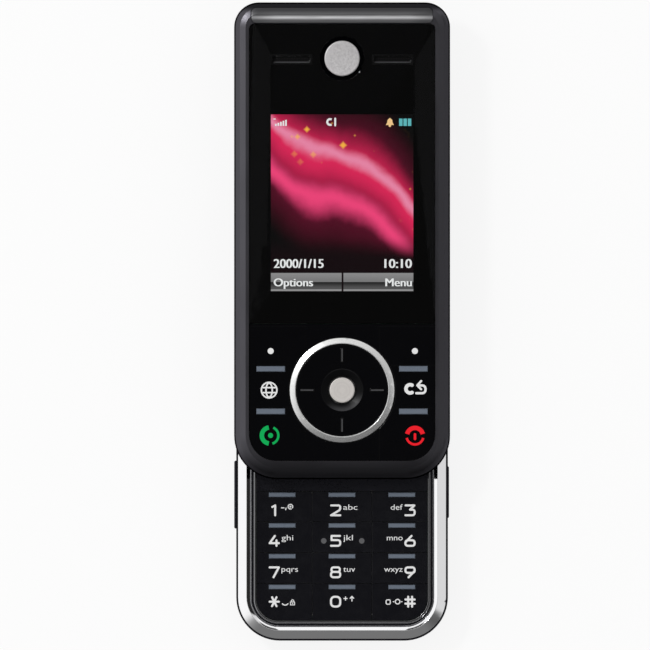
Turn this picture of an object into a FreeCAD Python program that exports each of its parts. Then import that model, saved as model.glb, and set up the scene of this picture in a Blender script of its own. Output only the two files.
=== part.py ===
"""Slider phone, lying on its back and slid open.

X runs across the phone, +Y towards the earpiece and +Z out of the screen.
The origin is the middle of the open phone, on the plane of its back.
All sizes are in millimetres.
"""
import FreeCAD, Part
import math
import os

V = FreeCAD.Vector

# ---------------------------------------------------------------- halves
slider_width = 47.0
base_width = 46.1
body_length = 103.8
travel = 35.2
top_corner = 5.4
bottom_corner = 9.5

# ------------------------------------------------------ heights, lower half
cover_wall = 0.9
cover_height = 3.0
back_round = 2.4
back_steps = 2
seam = 0.1
battery_gap = 0.2
battery_thickness = 3.6
sim_height = 0.8
bay_ceiling = 0.6
board_thickness = 0.7
board_gap = 0.3
dome_height = 0.2
mat_gap = 0.05
mat_thickness = 0.35
mat_inset = 0.6
mat_end_inset = 1.7
key_travel = 0.25
key_rest_gap = 0.05
key_thickness = 0.8
ridge_height = 0.3
housing_wall = 1.15
flange_thickness = 0.85
rim_drop = 0.25
rim_width = 0.38
chrome_seat = 0.45
chrome_rise = 0.5

# ------------------------------------------------------ heights, upper half
slide_gap = 0.4
rail_inset = 0.1
rail_flange = 0.3
channel_height = 1.6
rail_sheet = 0.4
board_clearance = 0.1
slider_board_thickness = 0.6
slider_dome_height = 0.2
lcd_gap = 0.3
lcd_thickness = 1.8
mask_gap = 0.05
mask_thickness = 0.15
lens_thickness = 0.9
bezel_crown = 0.3
rear_cover_height = 1.5

# --------------------------------------------------------- slider front
side_rail = 3.2
bottom_rail = 4.0
rail_round = 2.5
rail_steps = 3
panel_corner_low = 5.9
panel_corner_high = 1.2
slider_wall = 1.6
ledge_width = 0.9
ledge_thickness = 0.25
trim_width = 39.6
trim_length = 3.5
trim_edge = 1.1
trim_round = 1.0
fit_gap = 0.1
key_gap = 0.12
key_field = 29.8

screen_side = 4.8
screen_head = 19.7
screen_chin = 7.1
lcd_side = 1.6
lcd_foot = 5.0
lcd_head = 1.8

badge_radius = 3.85
badge_recess = 0.95
badge_below_top = 12.2
badge_proud = 0.1
slot_length = 8.2
slot_width = 1.5
slot_clip = 0.45
slot_spread = 22.0
mesh_margin = 0.3
slot_drop = 0.25
receiver_half = 7.5
receiver_width = 6.0
receiver_gap = 1.0

# --------------------------------------------------------- navigation keys
nav_above_panel = 15.4
ring_outer = 11.55
ring_inner = 10.05
ring_proud = 0.25
disc_gap = 0.15
dish_radius = 4.6
dish_depth = 0.45
dish_hub_gap = 0.3
select_radius = 2.75
select_proud = 0.15
ring_fall = 0.5
disc_tilt_gap = 0.4
tick_inner = 6.1
tick_length = 2.9
tick_width = 0.45
tick_depth = 0.15
hub_half = 4.2
actuator_reach = 6.9
actuator_arm_half = 2.0
actuator_bore_half = 1.4
actuator_gap = 0.2
actuator_thickness = 0.8
panel_plate = 0.6
soft_row = 8.56
function_row = 9.27
soft_row_top = 0.4
function_bar_length = 6.2
function_bar_width = 1.2
function_inner = 8.0
function_mark_shift = 1.45
stem_half = 0.9
stem_gap = 0.2
dome_half = 1.7

# --------------------------------------------------------- number keys
keypad_corner = 4.8
keypad_top_below_slider = 2.6
column_overhang = 0.82
key_row = 6.7
ridge_length = 5.8
ridge_width = 0.95
ridge_below_key_top = 0.82
ridge_bevel = 0.12
lip_width = 0.6
lip_bevel = 0.2
lip_proud = 0.2
groove_width = 0.4
panel_to_carriage = 11.7
trench_reach = 5.0
panel_corner = 0.5

# --------------------------------------------------------- chrome bezel
facet_outer = 1.87
facet_inner = 1.08

# --------------------------------------------------------- side keys
side_key_width = 2.3
side_key_low = 4.4
side_key_gap = 0.2
side_key_bevel = 0.2
flange_extra = 0.5
side_flange = 0.45
side_flange_gap = 0.3
rocker_length = 14.8
rocker_below_slider = -4.0
rocker_proud = 0.45
shutter_length = 11.3
shutter_below_slider = -2.8
shutter_proud = 0.25
switch_depth = 1.0
switch_length = 3.4
switch_height = 1.4
switch_gap = 0.35

# --------------------------------------------------------- battery and cover
tub_length = 39.3
battery_side = 6.05
battery_above_end = 9.5
battery_below_tub = 5.0
bay_gap = 0.3
bay_wall = 1.0
cover_rail_width = 0.85
cover_rail_height = 0.45
cover_rail_length = 6.0
cover_rail_end_gap = 2.0
keeper_width = 0.5
keeper_foot = 0.65
keeper_gap = 0.1
sim_width = 27.0
sim_length = 16.0
sim_below_battery_top = 6.0
sim_lip = 0.5
sim_sheet = 0.15

# --------------------------------------------------------- back and innards
back_floor = 1.0
camera_radius = 4.4
camera_below_top = 12.0
camera_aside = 9.5
window_gap = 0.1
window_thickness = 0.75
window_inset = 0.15
camera_side = 8.4
barrel_radius = 3.0
barrel_height = 1.4
speaker_half_width = 7.5
speaker_half_length = 5.5
speaker_clip = 1.6
speaker_thickness = 3.0
grille_slots = 5
grille_pitch = 2.2
grille_slot_width = 0.8
grille_slot_length = 8.0
motor_radius = 2.0
motor_length = 10.0
motor_below_top = 29.0
motor_shaft_half = 0.35
motor_weight_length = 3.0
motor_shaft_length = 0.8
microphone_half = 1.9
microphone_height = 1.4
socket_width = 7.4
socket_height = 1.9
socket_depth = 5.2
socket_sheet = 0.25
socket_gap = 0.15
socket_recess = 0.35
socket_below_top = 24.0
tongue_width = 5.0
tongue_thickness = 0.5
tongue_recess = 1.0
shield_side = 8.05
shield_above_keys = 7.2
shield_below_top = 26.0
shield_sheet = 0.2
screw_radius = 0.6
screw_head_radius = 1.25
screw_head_height = 0.5
screw_length = 3.2
screw_sides = 8
screw_gap = 0.05
boss_half = 1.4
screw_aside = 2.9
screw_low_above_end = 13.0
screw_high_below_top = 7.2

# --------------------------------------------------------- slide mechanism
rail_from_edge = 4.6
rail_wall = 0.5
rail_hook = 2.8
rail_margin = 0.2
slide_stop = 1.2
carriage_sheet = 0.5
carriage_foot_inside_rail = 7.5
carriage_length = 27.0
guide_width = 2.3
guide_length = 8.0
guide_clearance = 0.06
flange_in_guide = 1.6
spring_wire = 0.45
spring_turns = 4
spring_span = 16.0
spring_above_carriage = 3.2
spring_from_flex = 1.8
spring_from_wing = 3.2
spring_clip = 1.0
flex_width = 8.0
flex_thickness = 0.12
flex_window = 1.0
flex_bend = 0.4
flex_slot_gap = 0.5
flex_reach = 10.0
flex_fold_margin = 1.0
rail_slot_length = 20.0
rail_slot_width = 4.0
rail_slot_inset = 8.0
slider_screw_aside = 2.6
slider_screw_length = 2.2
slider_screw_above_end = 9.0
slider_screw_below_top = 24.0

# ------------------------------------------------------------ derived places
open_length = body_length + travel
slider_top = open_length / 2
slider_bottom = slider_top - body_length
base_bottom = -open_length / 2
base_top = base_bottom + body_length
base_half = base_width / 2
slider_half = slider_width / 2
cover_top = base_top - tub_length
shell_split = cover_height + seam / 2 + flange_thickness

battery_low = cover_wall + battery_gap
battery_high = battery_low + battery_thickness
bay_high = battery_high + sim_height + seam
board_low = bay_high + bay_ceiling
board_high = board_low + board_thickness
dome_high = board_high + dome_height
mat_low = dome_high + mat_gap
mat_high = mat_low + mat_thickness
key_low = mat_high + key_travel + key_rest_gap
key_high = key_low + key_thickness
deck_low = mat_high + seam
chrome_low = key_high - chrome_seat
chrome_high = key_high + chrome_rise
rim_high = key_high - rim_drop

slider_low = chrome_high + slide_gap
rail_low = slider_low + rail_inset
channel_low = rail_low + rail_flange
channel_high = channel_low + channel_height
rail_high = channel_high + rail_sheet
slider_board_low = rail_high + board_clearance
slider_board_high = slider_board_low + slider_board_thickness
slider_dome_high = slider_board_high + slider_dome_height
lcd_low = slider_board_high + lcd_gap
lcd_high = lcd_low + lcd_thickness
mask_low = lcd_high + mask_gap
lens_low = mask_low + mask_thickness
lens_high = lens_low + lens_thickness
bezel_high = lens_high + bezel_crown
bezel_low = slider_low + rear_cover_height
ledge_low = mask_low - ledge_thickness

panel_half = slider_half - side_rail
panel_bottom = slider_bottom + bottom_rail
panel_top = slider_top - trim_edge - trim_length - fit_gap
panel_split = panel_bottom + key_field
nav_y = panel_bottom + nav_above_panel
screen_top = panel_top - screen_head
screen_bottom = panel_split + screen_chin
screen_half = panel_half - screen_side
badge_y = slider_top - badge_below_top
plate_high = ledge_low
function_low = plate_high + key_travel + key_rest_gap
key_edge_half = panel_half - key_gap

chrome_half = base_half - rim_width
chrome_bottom = base_bottom + rim_width
chrome_inset = facet_outer + facet_inner
lip_half = chrome_half - chrome_inset - groove_width
lip_bottom = chrome_bottom + chrome_inset + groove_width
keypad_half = lip_half - lip_width
keypad_bottom = lip_bottom + lip_width
keypad_top = slider_bottom - keypad_top_below_slider
key_column = (2 * keypad_half + 2 * column_overhang) / 3

inner_half = base_half - housing_wall
inner_bottom = base_bottom + housing_wall
inner_top = base_top - housing_wall
inner_corner_high = top_corner - housing_wall
nest_half = inner_half - seam
battery_bottom = base_bottom + battery_above_end
battery_top = cover_top - battery_below_tub
battery_half = base_half - battery_side
camera_y = base_top - camera_below_top
socket_y = base_top - socket_below_top
socket_mouth = -base_half + socket_recess
socket_low = board_low - socket_height
rocker_y = slider_bottom - rocker_below_slider - rocker_length / 2
shutter_y = slider_bottom - shutter_below_slider - shutter_length / 2
rail_half_width = slider_half - rail_from_edge
rail_top_y = slider_top - slider_wall - rail_margin
carriage_high_y = rail_top_y - travel - slide_stop
carriage_low_y = carriage_high_y - carriage_length
rail_bottom_y = carriage_low_y - slide_stop
carriage_foot = rail_half_width - carriage_foot_inside_rail
keypad_panel_top = carriage_low_y - panel_to_carriage
flange_half = rail_half_width - rail_wall - guide_clearance - guide_width + flange_in_guide
carriage_plate_low = (channel_low + channel_high - carriage_sheet) / 2


# ------------------------------------------------------------ shape helpers
def outline(half, y_low, y_high, r_low, r_high, z, middle=0.0):
    """Closed wire of a rectangle whose low-Y and high-Y corners are rounded."""
    left = middle - half
    right = middle + half
    corners = [
        (left + r_low, y_low + r_low, r_low, 180),
        (right - r_low, y_low + r_low, r_low, 270),
        (right - r_high, y_high - r_high, r_high, 0),
        (left + r_high, y_high - r_high, r_high, 90),
    ]
    edges = []
    ends = []
    for cx, cy, radius, start in corners:
        first = V(cx, cy, z) + turned(radius, start)
        last = V(cx, cy, z) + turned(radius, start + 90)
        if radius > 0:
            mid = V(cx, cy, z) + turned(radius, start + 45)
            edges.append(Part.Arc(first, mid, last).toShape())
        ends.append((first, last, radius > 0))
    lines = []
    for index in range(4):
        tail = ends[index][1]
        head = ends[(index + 1) % 4][0]
        if tail.distanceToPoint(head) > 1e-6:
            lines.append(Part.LineSegment(tail, head).toShape())
    return Part.Wire(Part.__sortEdges__(edges + lines))


def turned(radius, degrees):
    """Vector of a given length at an angle in the XY plane."""
    angle = math.radians(degrees)
    return V(radius * math.cos(angle), radius * math.sin(angle), 0)


def plate(half, y_low, y_high, z_low, z_high, r_low=0.0, r_high=None, middle=0.0):
    """Flat plate with rounded corners."""
    if r_high is None:
        r_high = r_low
    face = Part.Face(outline(half, y_low, y_high, r_low, r_high, z_low, middle))
    return face.extrude(V(0, 0, z_high - z_low))


def box(x_low, x_high, y_low, y_high, z_low, z_high):
    """Axis-aligned block."""
    return Part.makeBox(x_high - x_low, y_high - y_low, z_high - z_low, V(x_low, y_low, z_low))


def rod(x, y, z_low, z_high, radius):
    """Upright cylinder."""
    return Part.makeCylinder(radius, z_high - z_low, V(x, y, z_low))


def taper(wire_low, wire_high):
    """Solid with ruled sides between two like outlines."""
    return Part.makeLoft([wire_low, wire_high], True, True)


def rolled(outline_at, z_side, z_flat, steps):
    """Body that rolls an outline over in ruled bands, from its side height to its flat one."""
    reach = abs(z_flat - z_side)
    wires = []
    for index in range(steps + 1):
        angle = math.radians(90 * index / steps)
        inset = reach * (1 - math.cos(angle))
        wires.append(outline_at(inset, z_side + (z_flat - z_side) * math.sin(angle)))
    return Part.makeLoft(wires, True, True)


def ridge(x, y, z, length, width):
    """Raised bar on a key, its upper edges bevelled."""
    half = length / 2
    side = width / 2
    foot = outline(half, y - side, y + side, 0.0, 0.0, z, x)
    head = outline(half - ridge_bevel, y - side + ridge_bevel, y + side - ridge_bevel, 0.0, 0.0,
                   z + ridge_height, x)
    return taper(foot, head)


def clipped(x, y, half_x, half_y, clip, z_low, z_high):
    """Upright block about a middle, its four corners clipped."""
    side_x = half_x - clip
    side_y = half_y - clip
    corner = [(half_x, -side_y), (half_x, side_y), (side_x, half_y), (-side_x, half_y)]
    corner += [(-px, -py) for px, py in corner]
    points = [V(x + px, y + py, z_low) for px, py in corner]
    return Part.Face(Part.makePolygon(points + [points[0]])).extrude(V(0, 0, z_high - z_low))


def dome(x, y, z_low, z_high):
    """Square metal dome."""
    return block(x, y, z_low, z_high, dome_half)


def lathe(x, y, profile):
    """Body turned about an upright axis from (radius, height) points."""
    points = [V(x + radius, y, z) for radius, z in profile]
    face = Part.Face(Part.makePolygon(points + [points[0]]))
    return face.revolve(V(x, y, 0), V(0, 0, 1), 360)


def peg(x, y, z_low, z_high, radius):
    """Many-sided pin of a small screw, or the hole that it fits."""
    points = [V(x, y, z_low) + turned(radius, 360 * index / screw_sides) for index in range(screw_sides + 1)]
    return Part.Face(Part.makePolygon(points)).extrude(V(0, 0, z_high - z_low))


def block(x, y, z_low, z_high, half):
    """Square upright block about a middle."""
    return box(x - half, x + half, y - half, y + half, z_low, z_high)


def fused(first, *others):
    """One solid from several that touch."""
    return first.fuse(list(others)).removeSplitter()


def mirrored(shape):
    """The shape's twin on the other side of the phone."""
    return shape.mirror(V(0, 0, 0), V(1, 0, 0))


def both_sides(shape):
    """A shape and its twin, left as two solids."""
    return [shape, mirrored(shape)]


def save(name, *solids):
    """Write one sub-part to its STEP file."""
    loose = []
    for shape in solids:
        loose.extend(shape.Solids)
    whole = loose[0] if len(loose) == 1 else Part.makeCompound(loose)
    whole.exportStep("parts/" + name + ".step")


# ------------------------------------------------------------ lower half
def base_outline(inset, z):
    """Wire of the lower half's outline, drawn in by an inset."""
    return outline(base_half - inset, base_bottom + inset, base_top - inset,
                   bottom_corner - inset, top_corner - inset, z)


def base_prism(inset, z_low, z_high):
    """Upright body on the lower half's outline, drawn in by an inset."""
    return Part.Face(base_outline(inset, z_low)).extrude(V(0, 0, z_high - z_low))


def screw_places():
    """Middles of the four housing screws, with the height of each head's seat."""
    aside = base_half - screw_aside
    low = base_bottom + screw_low_above_end
    high = base_top - screw_high_below_top
    under_cover = cover_height + seam / 2
    return [(-aside, low, under_cover), (aside, low, under_cover), (-aside, high, 0.0), (aside, high, 0.0)]


def side_bay(sign, middle, length):
    """Room for a side key, its flange and its switches in the shells."""
    reach = length / 2 + flange_extra + side_key_gap
    inner = nest_half - side_flange_gap - side_flange - switch_gap - switch_depth
    outer = base_half + 1
    low = side_key_low - flange_extra - side_key_gap
    bay = box(inner, outer, middle - reach, middle + reach, low, board_low + 1)
    return bay if sign > 0 else mirrored(bay)


def rear_housing():
    """Back shell: tub round the camera, flange over the cover and the battery bay."""
    tub = fused(rolled(base_outline, back_round, 0.0, back_steps), base_prism(0, back_round, shell_split))
    nest = base_prism(housing_wall + seam, shell_split, board_low)
    shell = fused(tub, nest)
    under = box(-base_width, base_width, base_bottom - 1, cover_top, -1, cover_height + seam / 2)
    bay_half = battery_half + bay_gap
    bay = box(-bay_half, bay_half, battery_bottom - bay_gap, battery_top + bay_gap, -1, bay_high)
    tub_low = cover_top + bay_wall
    hollow = plate(base_half - housing_wall - bay_wall, tub_low, inner_top - bay_wall, back_floor, bay_high,
                   0.0, inner_corner_high - bay_wall)
    gutter_in = bay_half + bay_wall
    gutter = box(gutter_in, base_half, battery_bottom, battery_top, shell_split, bay_high)
    end = box(-bay_half, bay_half, inner_bottom + bay_wall, battery_bottom - bay_gap - bay_wall,
              shell_split, bay_high)
    shell = shell.cut([under, bay, hollow, gutter, mirrored(gutter), end])
    shell = shell.cut([side_bay(-1, rocker_y, rocker_length), side_bay(1, shutter_y, shutter_length)])
    shell = shell.cut(socket_bay())
    shell = fused(shell, *keepers())
    return drilled_rear(shell)


def keepers():
    """Hooks under the flange that hold the battery cover's rails."""
    wall = base_half - cover_wall
    rail_in = wall - cover_rail_width
    leg_out = rail_in - keeper_gap
    foot_out = leg_out + keeper_foot
    rail_high = cover_height - keeper_gap
    foot_high = rail_high - cover_rail_height - keeper_gap
    foot_low = foot_high - cover_rail_height
    hooks = []
    for y in cover_rail_places():
        leg = box(leg_out - keeper_width, leg_out, y, y + cover_rail_length, foot_low,
                  cover_height + seam / 2)
        foot = box(leg_out - keeper_width, foot_out, y, y + cover_rail_length, foot_low, foot_high)
        hook = fused(leg, foot)
        hooks.extend(both_sides(hook))
    return hooks


def cover_rail_places():
    """Low ends of the three hooks and rails along each side."""
    first = base_bottom + bottom_corner + cover_rail_end_gap
    last = cover_top - cover_rail_length - cover_rail_end_gap
    return [first, (first + last) / 2, last]


def drilled_rear(shell):
    """Screw bosses and holes, camera window and loudspeaker grille."""
    for x, y, seat in screw_places():
        if seat < shell_split - flange_thickness:
            shell = fused(shell, block(x, y, seat, shell_split, boss_half))
        shell = shell.cut(peg(x, y, seat - 1, seat + screw_head_height + screw_gap,
                              screw_head_radius + screw_gap))
        shell = shell.cut(peg(x, y, seat, board_low + 1, screw_radius + screw_gap))
        shell = shell.cut(block(x, y, shell_split, board_low + 1, boss_half + seam))
    shell = shell.cut(rod(camera_aside, camera_y, -1, back_floor + 1, camera_radius + window_gap))
    return shell.cut(grille())


def grille():
    """Row of slots over the loudspeaker."""
    slots = []
    for index in range(grille_slots):
        y = camera_y + (index - (grille_slots - 1) / 2) * grille_pitch
        slots.append(box(-camera_aside - grille_slot_length / 2, -camera_aside + grille_slot_length / 2,
                         y - grille_slot_width / 2, y + grille_slot_width / 2, -1, back_floor + 1))
    return slots


def front_housing():
    """Upper shell of the lower half, with the deck that carries keys and slide."""
    walls = base_prism(0, shell_split, rim_high)
    cavity = base_prism(housing_wall, shell_split - 1, deck_low)
    pocket = base_prism(rim_width, chrome_low, rim_high + 1)
    shell = walls.cut([cavity, pocket])
    deck = deck_block()
    shell = fused(shell, deck)
    opening = plate(keypad_half, keypad_bottom, keypad_top, deck_low - 1, key_high + 1,
                    keypad_corner, 0.0)
    shell = shell.cut(opening)
    for x, y, _ in screw_places():
        boss = block(x, y, shell_split, deck_low, boss_half)
        bore = peg(x, y, shell_split - 1, shell_split + screw_length, screw_radius + screw_gap)
        shell = fused(shell, boss).cut(bore)
    slot = box(-flex_width / 2 - seam, flex_width / 2 + seam, flex_base_y() - flex_window,
               flex_base_y() + flex_window, deck_low - 1, key_high + 1)
    windows = [side_window(-1, rocker_y, rocker_length), side_window(1, shutter_y, shutter_length)]
    return shell.cut([slot, socket_bay()] + windows)


def deck_block():
    """Raised deck inside the chrome, lowered to a groove round the keypad's lip."""
    deck = base_prism(rim_width + chrome_inset + seam, chrome_low, key_high)
    trench = plate(lip_half + groove_width, lip_bottom - groove_width - trench_reach,
                   keypad_panel_top + lip_width, chrome_low, key_high + 1, 0.0)
    island = plate(keypad_half - fit_gap, keypad_bottom, keypad_panel_top - fit_gap, chrome_low, key_high,
                   keypad_corner, panel_corner)
    return fused(deck.cut(trench), island)


def side_window(sign, middle, length):
    """Slot through the side wall for a side key."""
    reach = length / 2 + side_key_gap
    inner = inner_half - 1
    window = box(inner, base_half + 1, middle - reach, middle + reach, side_key_low - side_key_gap,
                 side_key_low + side_key_width + side_key_gap)
    return window if sign > 0 else mirrored(window)


def chrome_ring_part(inset_low, z_low, inset_high, z_high):
    """Tapered body between two insets of the chrome's outer outline."""
    return taper(base_outline(rim_width + inset_low, z_low), base_outline(rim_width + inset_high, z_high))


def chrome_bezel():
    """Bright frame with two facets that meet in a ridge."""
    foot = base_prism(rim_width, chrome_low, rim_high)
    roof = chrome_ring_part(0, rim_high, facet_outer, chrome_high)
    void_low = chrome_ring_part(chrome_inset, chrome_low - 1, chrome_inset, chrome_low + seam)
    void = chrome_ring_part(chrome_inset, chrome_low + seam, facet_outer, chrome_high)
    return fused(foot, roof).cut([void_low, void])


def trim_outline(grow, z):
    """Wire of the keypad's edge, let out by a width."""
    return outline(keypad_half + grow, keypad_bottom - grow, keypad_panel_top + grow, keypad_corner + grow,
                   panel_corner + grow, z)


def keypad_trim():
    """Thin bright lip round the keypad, its outer edge bevelled."""
    top = key_high + lip_proud
    foot = Part.Face(trim_outline(lip_width, chrome_low)).extrude(V(0, 0, top - lip_bevel - chrome_low))
    brow = taper(trim_outline(lip_width, top - lip_bevel), trim_outline(lip_width - lip_bevel, top))
    inner = Part.Face(trim_outline(0, chrome_low - 1)).extrude(V(0, 0, top + 2 - chrome_low))
    return fused(foot, brow).cut(inner)


def key_cell(column, row):
    """Room of one number key: its middle, half width and Y limits."""
    low_rows = 3
    x_low = -keypad_half if column == 0 else (column - 1.5) * key_column
    x_high = keypad_half if column == 2 else (column - 0.5) * key_column
    y_high = keypad_top - row * key_row
    y_low = keypad_bottom if row == low_rows else y_high - key_row
    return x_low, x_high, y_low, y_high


def number_key(column, row):
    """Flat key with a raised bar near its upper edge."""
    x_low, x_high, y_low, y_high = key_cell(column, row)
    gap = key_gap / 2
    body = box(x_low + gap, x_high - gap, y_low + gap, y_high - gap, key_low, key_high)
    within = plate(keypad_half - key_gap, keypad_bottom + key_gap, keypad_top, key_low - 1, key_high + 1,
                   keypad_corner - key_gap, 0.0)
    body = body.common(within)
    return fused(body, ridge((column - 1) * key_column, y_high - ridge_below_key_top, key_high,
                             ridge_length, ridge_width))


def main_board():
    """Lower circuit board, notched round the screw bosses."""
    board = base_prism(housing_wall + board_gap, board_low, board_high)
    for x, y, _ in screw_places():
        board = board.cut(block(x, y, board_low - 1, board_high + 1, boss_half + board_gap))
    board = board.cut([side_bay(-1, rocker_y, rocker_length), side_bay(1, shutter_y, shutter_length)])
    return fused(board, charging_socket())


def charging_socket():
    """Sheet socket with its tongue, soldered under the board with its mouth in the left side."""
    tail = socket_mouth + socket_depth
    side = socket_width / 2
    sheet = socket_sheet
    shell = box(socket_mouth, tail, socket_y - side, socket_y + side, socket_low, board_low)
    hollow = box(socket_mouth - 1, tail - sheet, socket_y - side + sheet, socket_y + side - sheet,
                 socket_low + sheet, board_low - sheet)
    middle = board_low - socket_height / 2
    half = tongue_width / 2
    rise = tongue_thickness / 2
    tongue = box(socket_mouth + tongue_recess, tail, socket_y - half, socket_y + half, middle - rise, middle + rise)
    return fused(shell.cut(hollow), tongue)


def socket_bay():
    """Room for the charging socket in the side walls."""
    reach = socket_width / 2 + socket_gap
    return box(-base_half - 1, socket_mouth + socket_depth + socket_gap, socket_y - reach, socket_y + reach,
               socket_low - socket_gap, board_low + socket_gap)


def key_domes():
    """Sheet of metal domes under the number keys."""
    half = keypad_half - 2 * mat_inset
    sheet = box(-half, half, keypad_bottom + 2 * mat_inset, keypad_top, board_high,
                board_high + dome_height / 2)
    domes = []
    for column in range(3):
        for row in range(4):
            y = keypad_top - (row + 0.5) * key_row
            domes.append(dome((column - 1) * key_column, y, board_high + dome_height / 2, dome_high))
    return fused(sheet, *domes)


def keypad_mat():
    """Rubber mat between the domes and the keys."""
    return box(mat_inset - keypad_half, keypad_half - mat_inset, keypad_bottom + mat_end_inset,
               keypad_top - mat_inset, mat_low, mat_high)


def side_key(sign, middle, length, proud):
    """Side key: cap through the wall with bevelled outer edges, flange behind it."""
    face = base_half + proud
    flange_out = inner_half - side_flange_gap
    low = side_key_low
    high = side_key_low + side_key_width
    cap = box(flange_out, face, middle - length / 2, middle + length / 2, low, high)
    outer_edges = []
    for edge in cap.Edges:
        bounds = edge.BoundBox
        if bounds.XMin > face - 1e-6:
            outer_edges.append(edge)
    cap = cap.makeChamfer(side_key_bevel, outer_edges)
    flange = box(flange_out - side_flange, flange_out, middle - length / 2 - flange_extra + side_key_gap,
                 middle + length / 2 + flange_extra - side_key_gap, low, high)
    key = fused(cap, flange)
    return key if sign > 0 else mirrored(key)


def side_switches():
    """Three small switches behind the side keys, two of them under the rocker."""
    back = inner_half - side_flange_gap - side_flange - switch_gap
    low = board_low - switch_height
    places = [(-1, rocker_y - rocker_length / 3), (-1, rocker_y + rocker_length / 3), (1, shutter_y)]
    bodies = []
    for sign, y in places:
        body = box(back - switch_depth, back, y - switch_length / 2, y + switch_length / 2, low, board_low)
        bodies.append(body if sign > 0 else mirrored(body))
    return bodies


def battery_cover():
    """Back cover: a tray that slides off over the lower end."""
    whole = fused(rolled(base_outline, back_round, 0.0, back_steps), base_prism(0, back_round, cover_height))
    ease = (back_round - cover_wall) / 2
    slope = taper(base_outline(cover_wall + ease, cover_wall), base_outline(cover_wall, cover_wall + ease))
    inside = fused(slope, base_prism(cover_wall, cover_wall + ease, cover_height + 1))
    tray = whole.cut(inside)
    keep = box(-base_width, base_width, base_bottom - 1, cover_top - seam, -1, cover_height - seam / 2)
    tray = tray.common(keep)
    wall = base_half - cover_wall
    high = cover_height - keeper_gap
    rails = []
    for y in cover_rail_places():
        rail = box(wall - cover_rail_width, wall + cover_wall / 2, y, y + cover_rail_length,
                   high - cover_rail_height, high)
        rails.extend(both_sides(rail))
    return fused(tray, *rails)


def battery():
    """Flat battery pack."""
    return box(-battery_half, battery_half, battery_bottom, battery_top, battery_low, battery_high)


def sim_holder():
    """Open metal cage for the subscriber card, above the battery."""
    high_y = battery_top - sim_below_battery_top
    low_y = high_y - sim_length
    half = sim_width / 2
    cage = box(-half, half, low_y, high_y, bay_high - sim_height, bay_high)
    slot = box(sim_lip - half, half - sim_lip, low_y - 1, high_y - sim_lip, bay_high - sim_height + sim_sheet,
               bay_high - sim_sheet)
    return cage.cut(slot)


def camera_module():
    """Square camera block with its round barrel towards the window."""
    half = camera_side / 2
    top = bay_high - seam
    low = window_inset + window_thickness + seam
    block = box(camera_aside - half, camera_aside + half, camera_y - half, camera_y + half,
                low + barrel_height, top)
    barrel = rod(camera_aside, camera_y, low, low + barrel_height, barrel_radius)
    return fused(block, barrel)


def loudspeaker():
    """Oblong loudspeaker behind the grille."""
    low = back_floor + seam
    return clipped(-camera_aside, camera_y, speaker_half_width, speaker_half_length, speaker_clip,
                   low, low + speaker_thickness)


def vibration_motor():
    """Small motor across the phone with its weight on the shaft."""
    y = base_top - motor_below_top
    z = back_floor + seam + motor_radius
    along = V(1, 0, 0)
    half = motor_shaft_half
    can = Part.makeCylinder(motor_radius, motor_length, V(-motor_length / 2, y, z), along)
    shaft_end = motor_length / 2 + motor_shaft_length
    shaft = box(motor_length / 2, shaft_end, y - half, y + half, z - half, z + half)
    start = V(shaft_end, y, z)
    weight = Part.makeCylinder(motor_radius, motor_weight_length, start, along, 180)
    return fused(can, shaft, weight)


def microphone():
    """Small microphone at the lower end."""
    y = (inner_bottom + bay_wall + battery_bottom - bay_gap - bay_wall) / 2
    return block(0, y, shell_split, shell_split + microphone_height, microphone_half)


def shield_can():
    """Folded metal lid over the radio parts of the lower board."""
    half = base_half - shield_side
    high_y = base_top - shield_below_top
    low_y = keypad_top + shield_above_keys
    roof = deck_low - seam
    outer = box(-half, half, low_y, high_y, board_high, roof)
    inner = box(shield_sheet - half, half - shield_sheet, low_y + shield_sheet, high_y - shield_sheet,
                board_high - 1, roof - shield_sheet)
    return outer.cut(inner)


def housing_screws():
    """Screws that pull the two shells of the lower half together."""
    screws = []
    for x, y, seat in screw_places():
        head = peg(x, y, seat, seat + screw_head_height, screw_head_radius)
        shank = peg(x, y, seat + screw_head_height, shell_split + screw_length - seam, screw_radius)
        screws.append(fused(head, shank))
    return screws


# ------------------------------------------------------------ slide mechanism
def flex_base_y():
    """Where the ribbon cable leaves the lower half."""
    return (carriage_low_y + carriage_high_y) / 2


def rail_plate():
    """Steel sheet of the slider with a C rail folded along each side."""
    sheet = box(-rail_half_width, rail_half_width, rail_bottom_y, rail_top_y, channel_high, rail_high)
    wall = box(rail_half_width - rail_wall, rail_half_width, rail_bottom_y, rail_top_y, rail_low, rail_high)
    hook = box(rail_half_width - rail_wall - rail_hook, rail_half_width, rail_bottom_y, rail_top_y,
               rail_low, channel_low)
    body = fused(sheet, wall, hook, mirrored(wall), mirrored(hook))
    reach = flex_width / 2 + flex_slot_gap
    slot = box(-reach, reach, flex_slider_y() - flex_window, flex_slider_y() + flex_window,
               channel_high - 1, rail_high + 1)
    lightening = []
    for y in (rail_bottom_y + rail_slot_inset, rail_top_y - rail_slot_inset):
        lightening.append(box(-rail_slot_length / 2, rail_slot_length / 2, y - rail_slot_width / 2,
                              y + rail_slot_width / 2, channel_high - 1, rail_high + 1))
    return body.cut([slot] + lightening)


def flex_slider_y():
    """Where the ribbon cable enters the slider."""
    return flex_base_y() + flex_reach


def slide_carriage():
    """Steel hat section of the lower half that runs between the rails."""
    high = carriage_plate_low + carriage_sheet
    foot = box(-carriage_foot, carriage_foot, carriage_low_y, carriage_high_y, key_high,
               key_high + carriage_sheet)
    web = box(carriage_foot - carriage_sheet, carriage_foot, carriage_low_y, carriage_high_y, key_high, high)
    wing = box(carriage_foot - carriage_sheet, flange_half, carriage_low_y, carriage_high_y,
               carriage_plate_low, high)
    hat = fused(foot, web, wing, mirrored(web), mirrored(wing))
    slot = box(-flex_width / 2 - seam, flex_width / 2 + seam, flex_base_y() - flex_window,
               flex_base_y() + flex_window, key_high - 1, key_high + 1)
    return hat.cut(slot)


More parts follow.
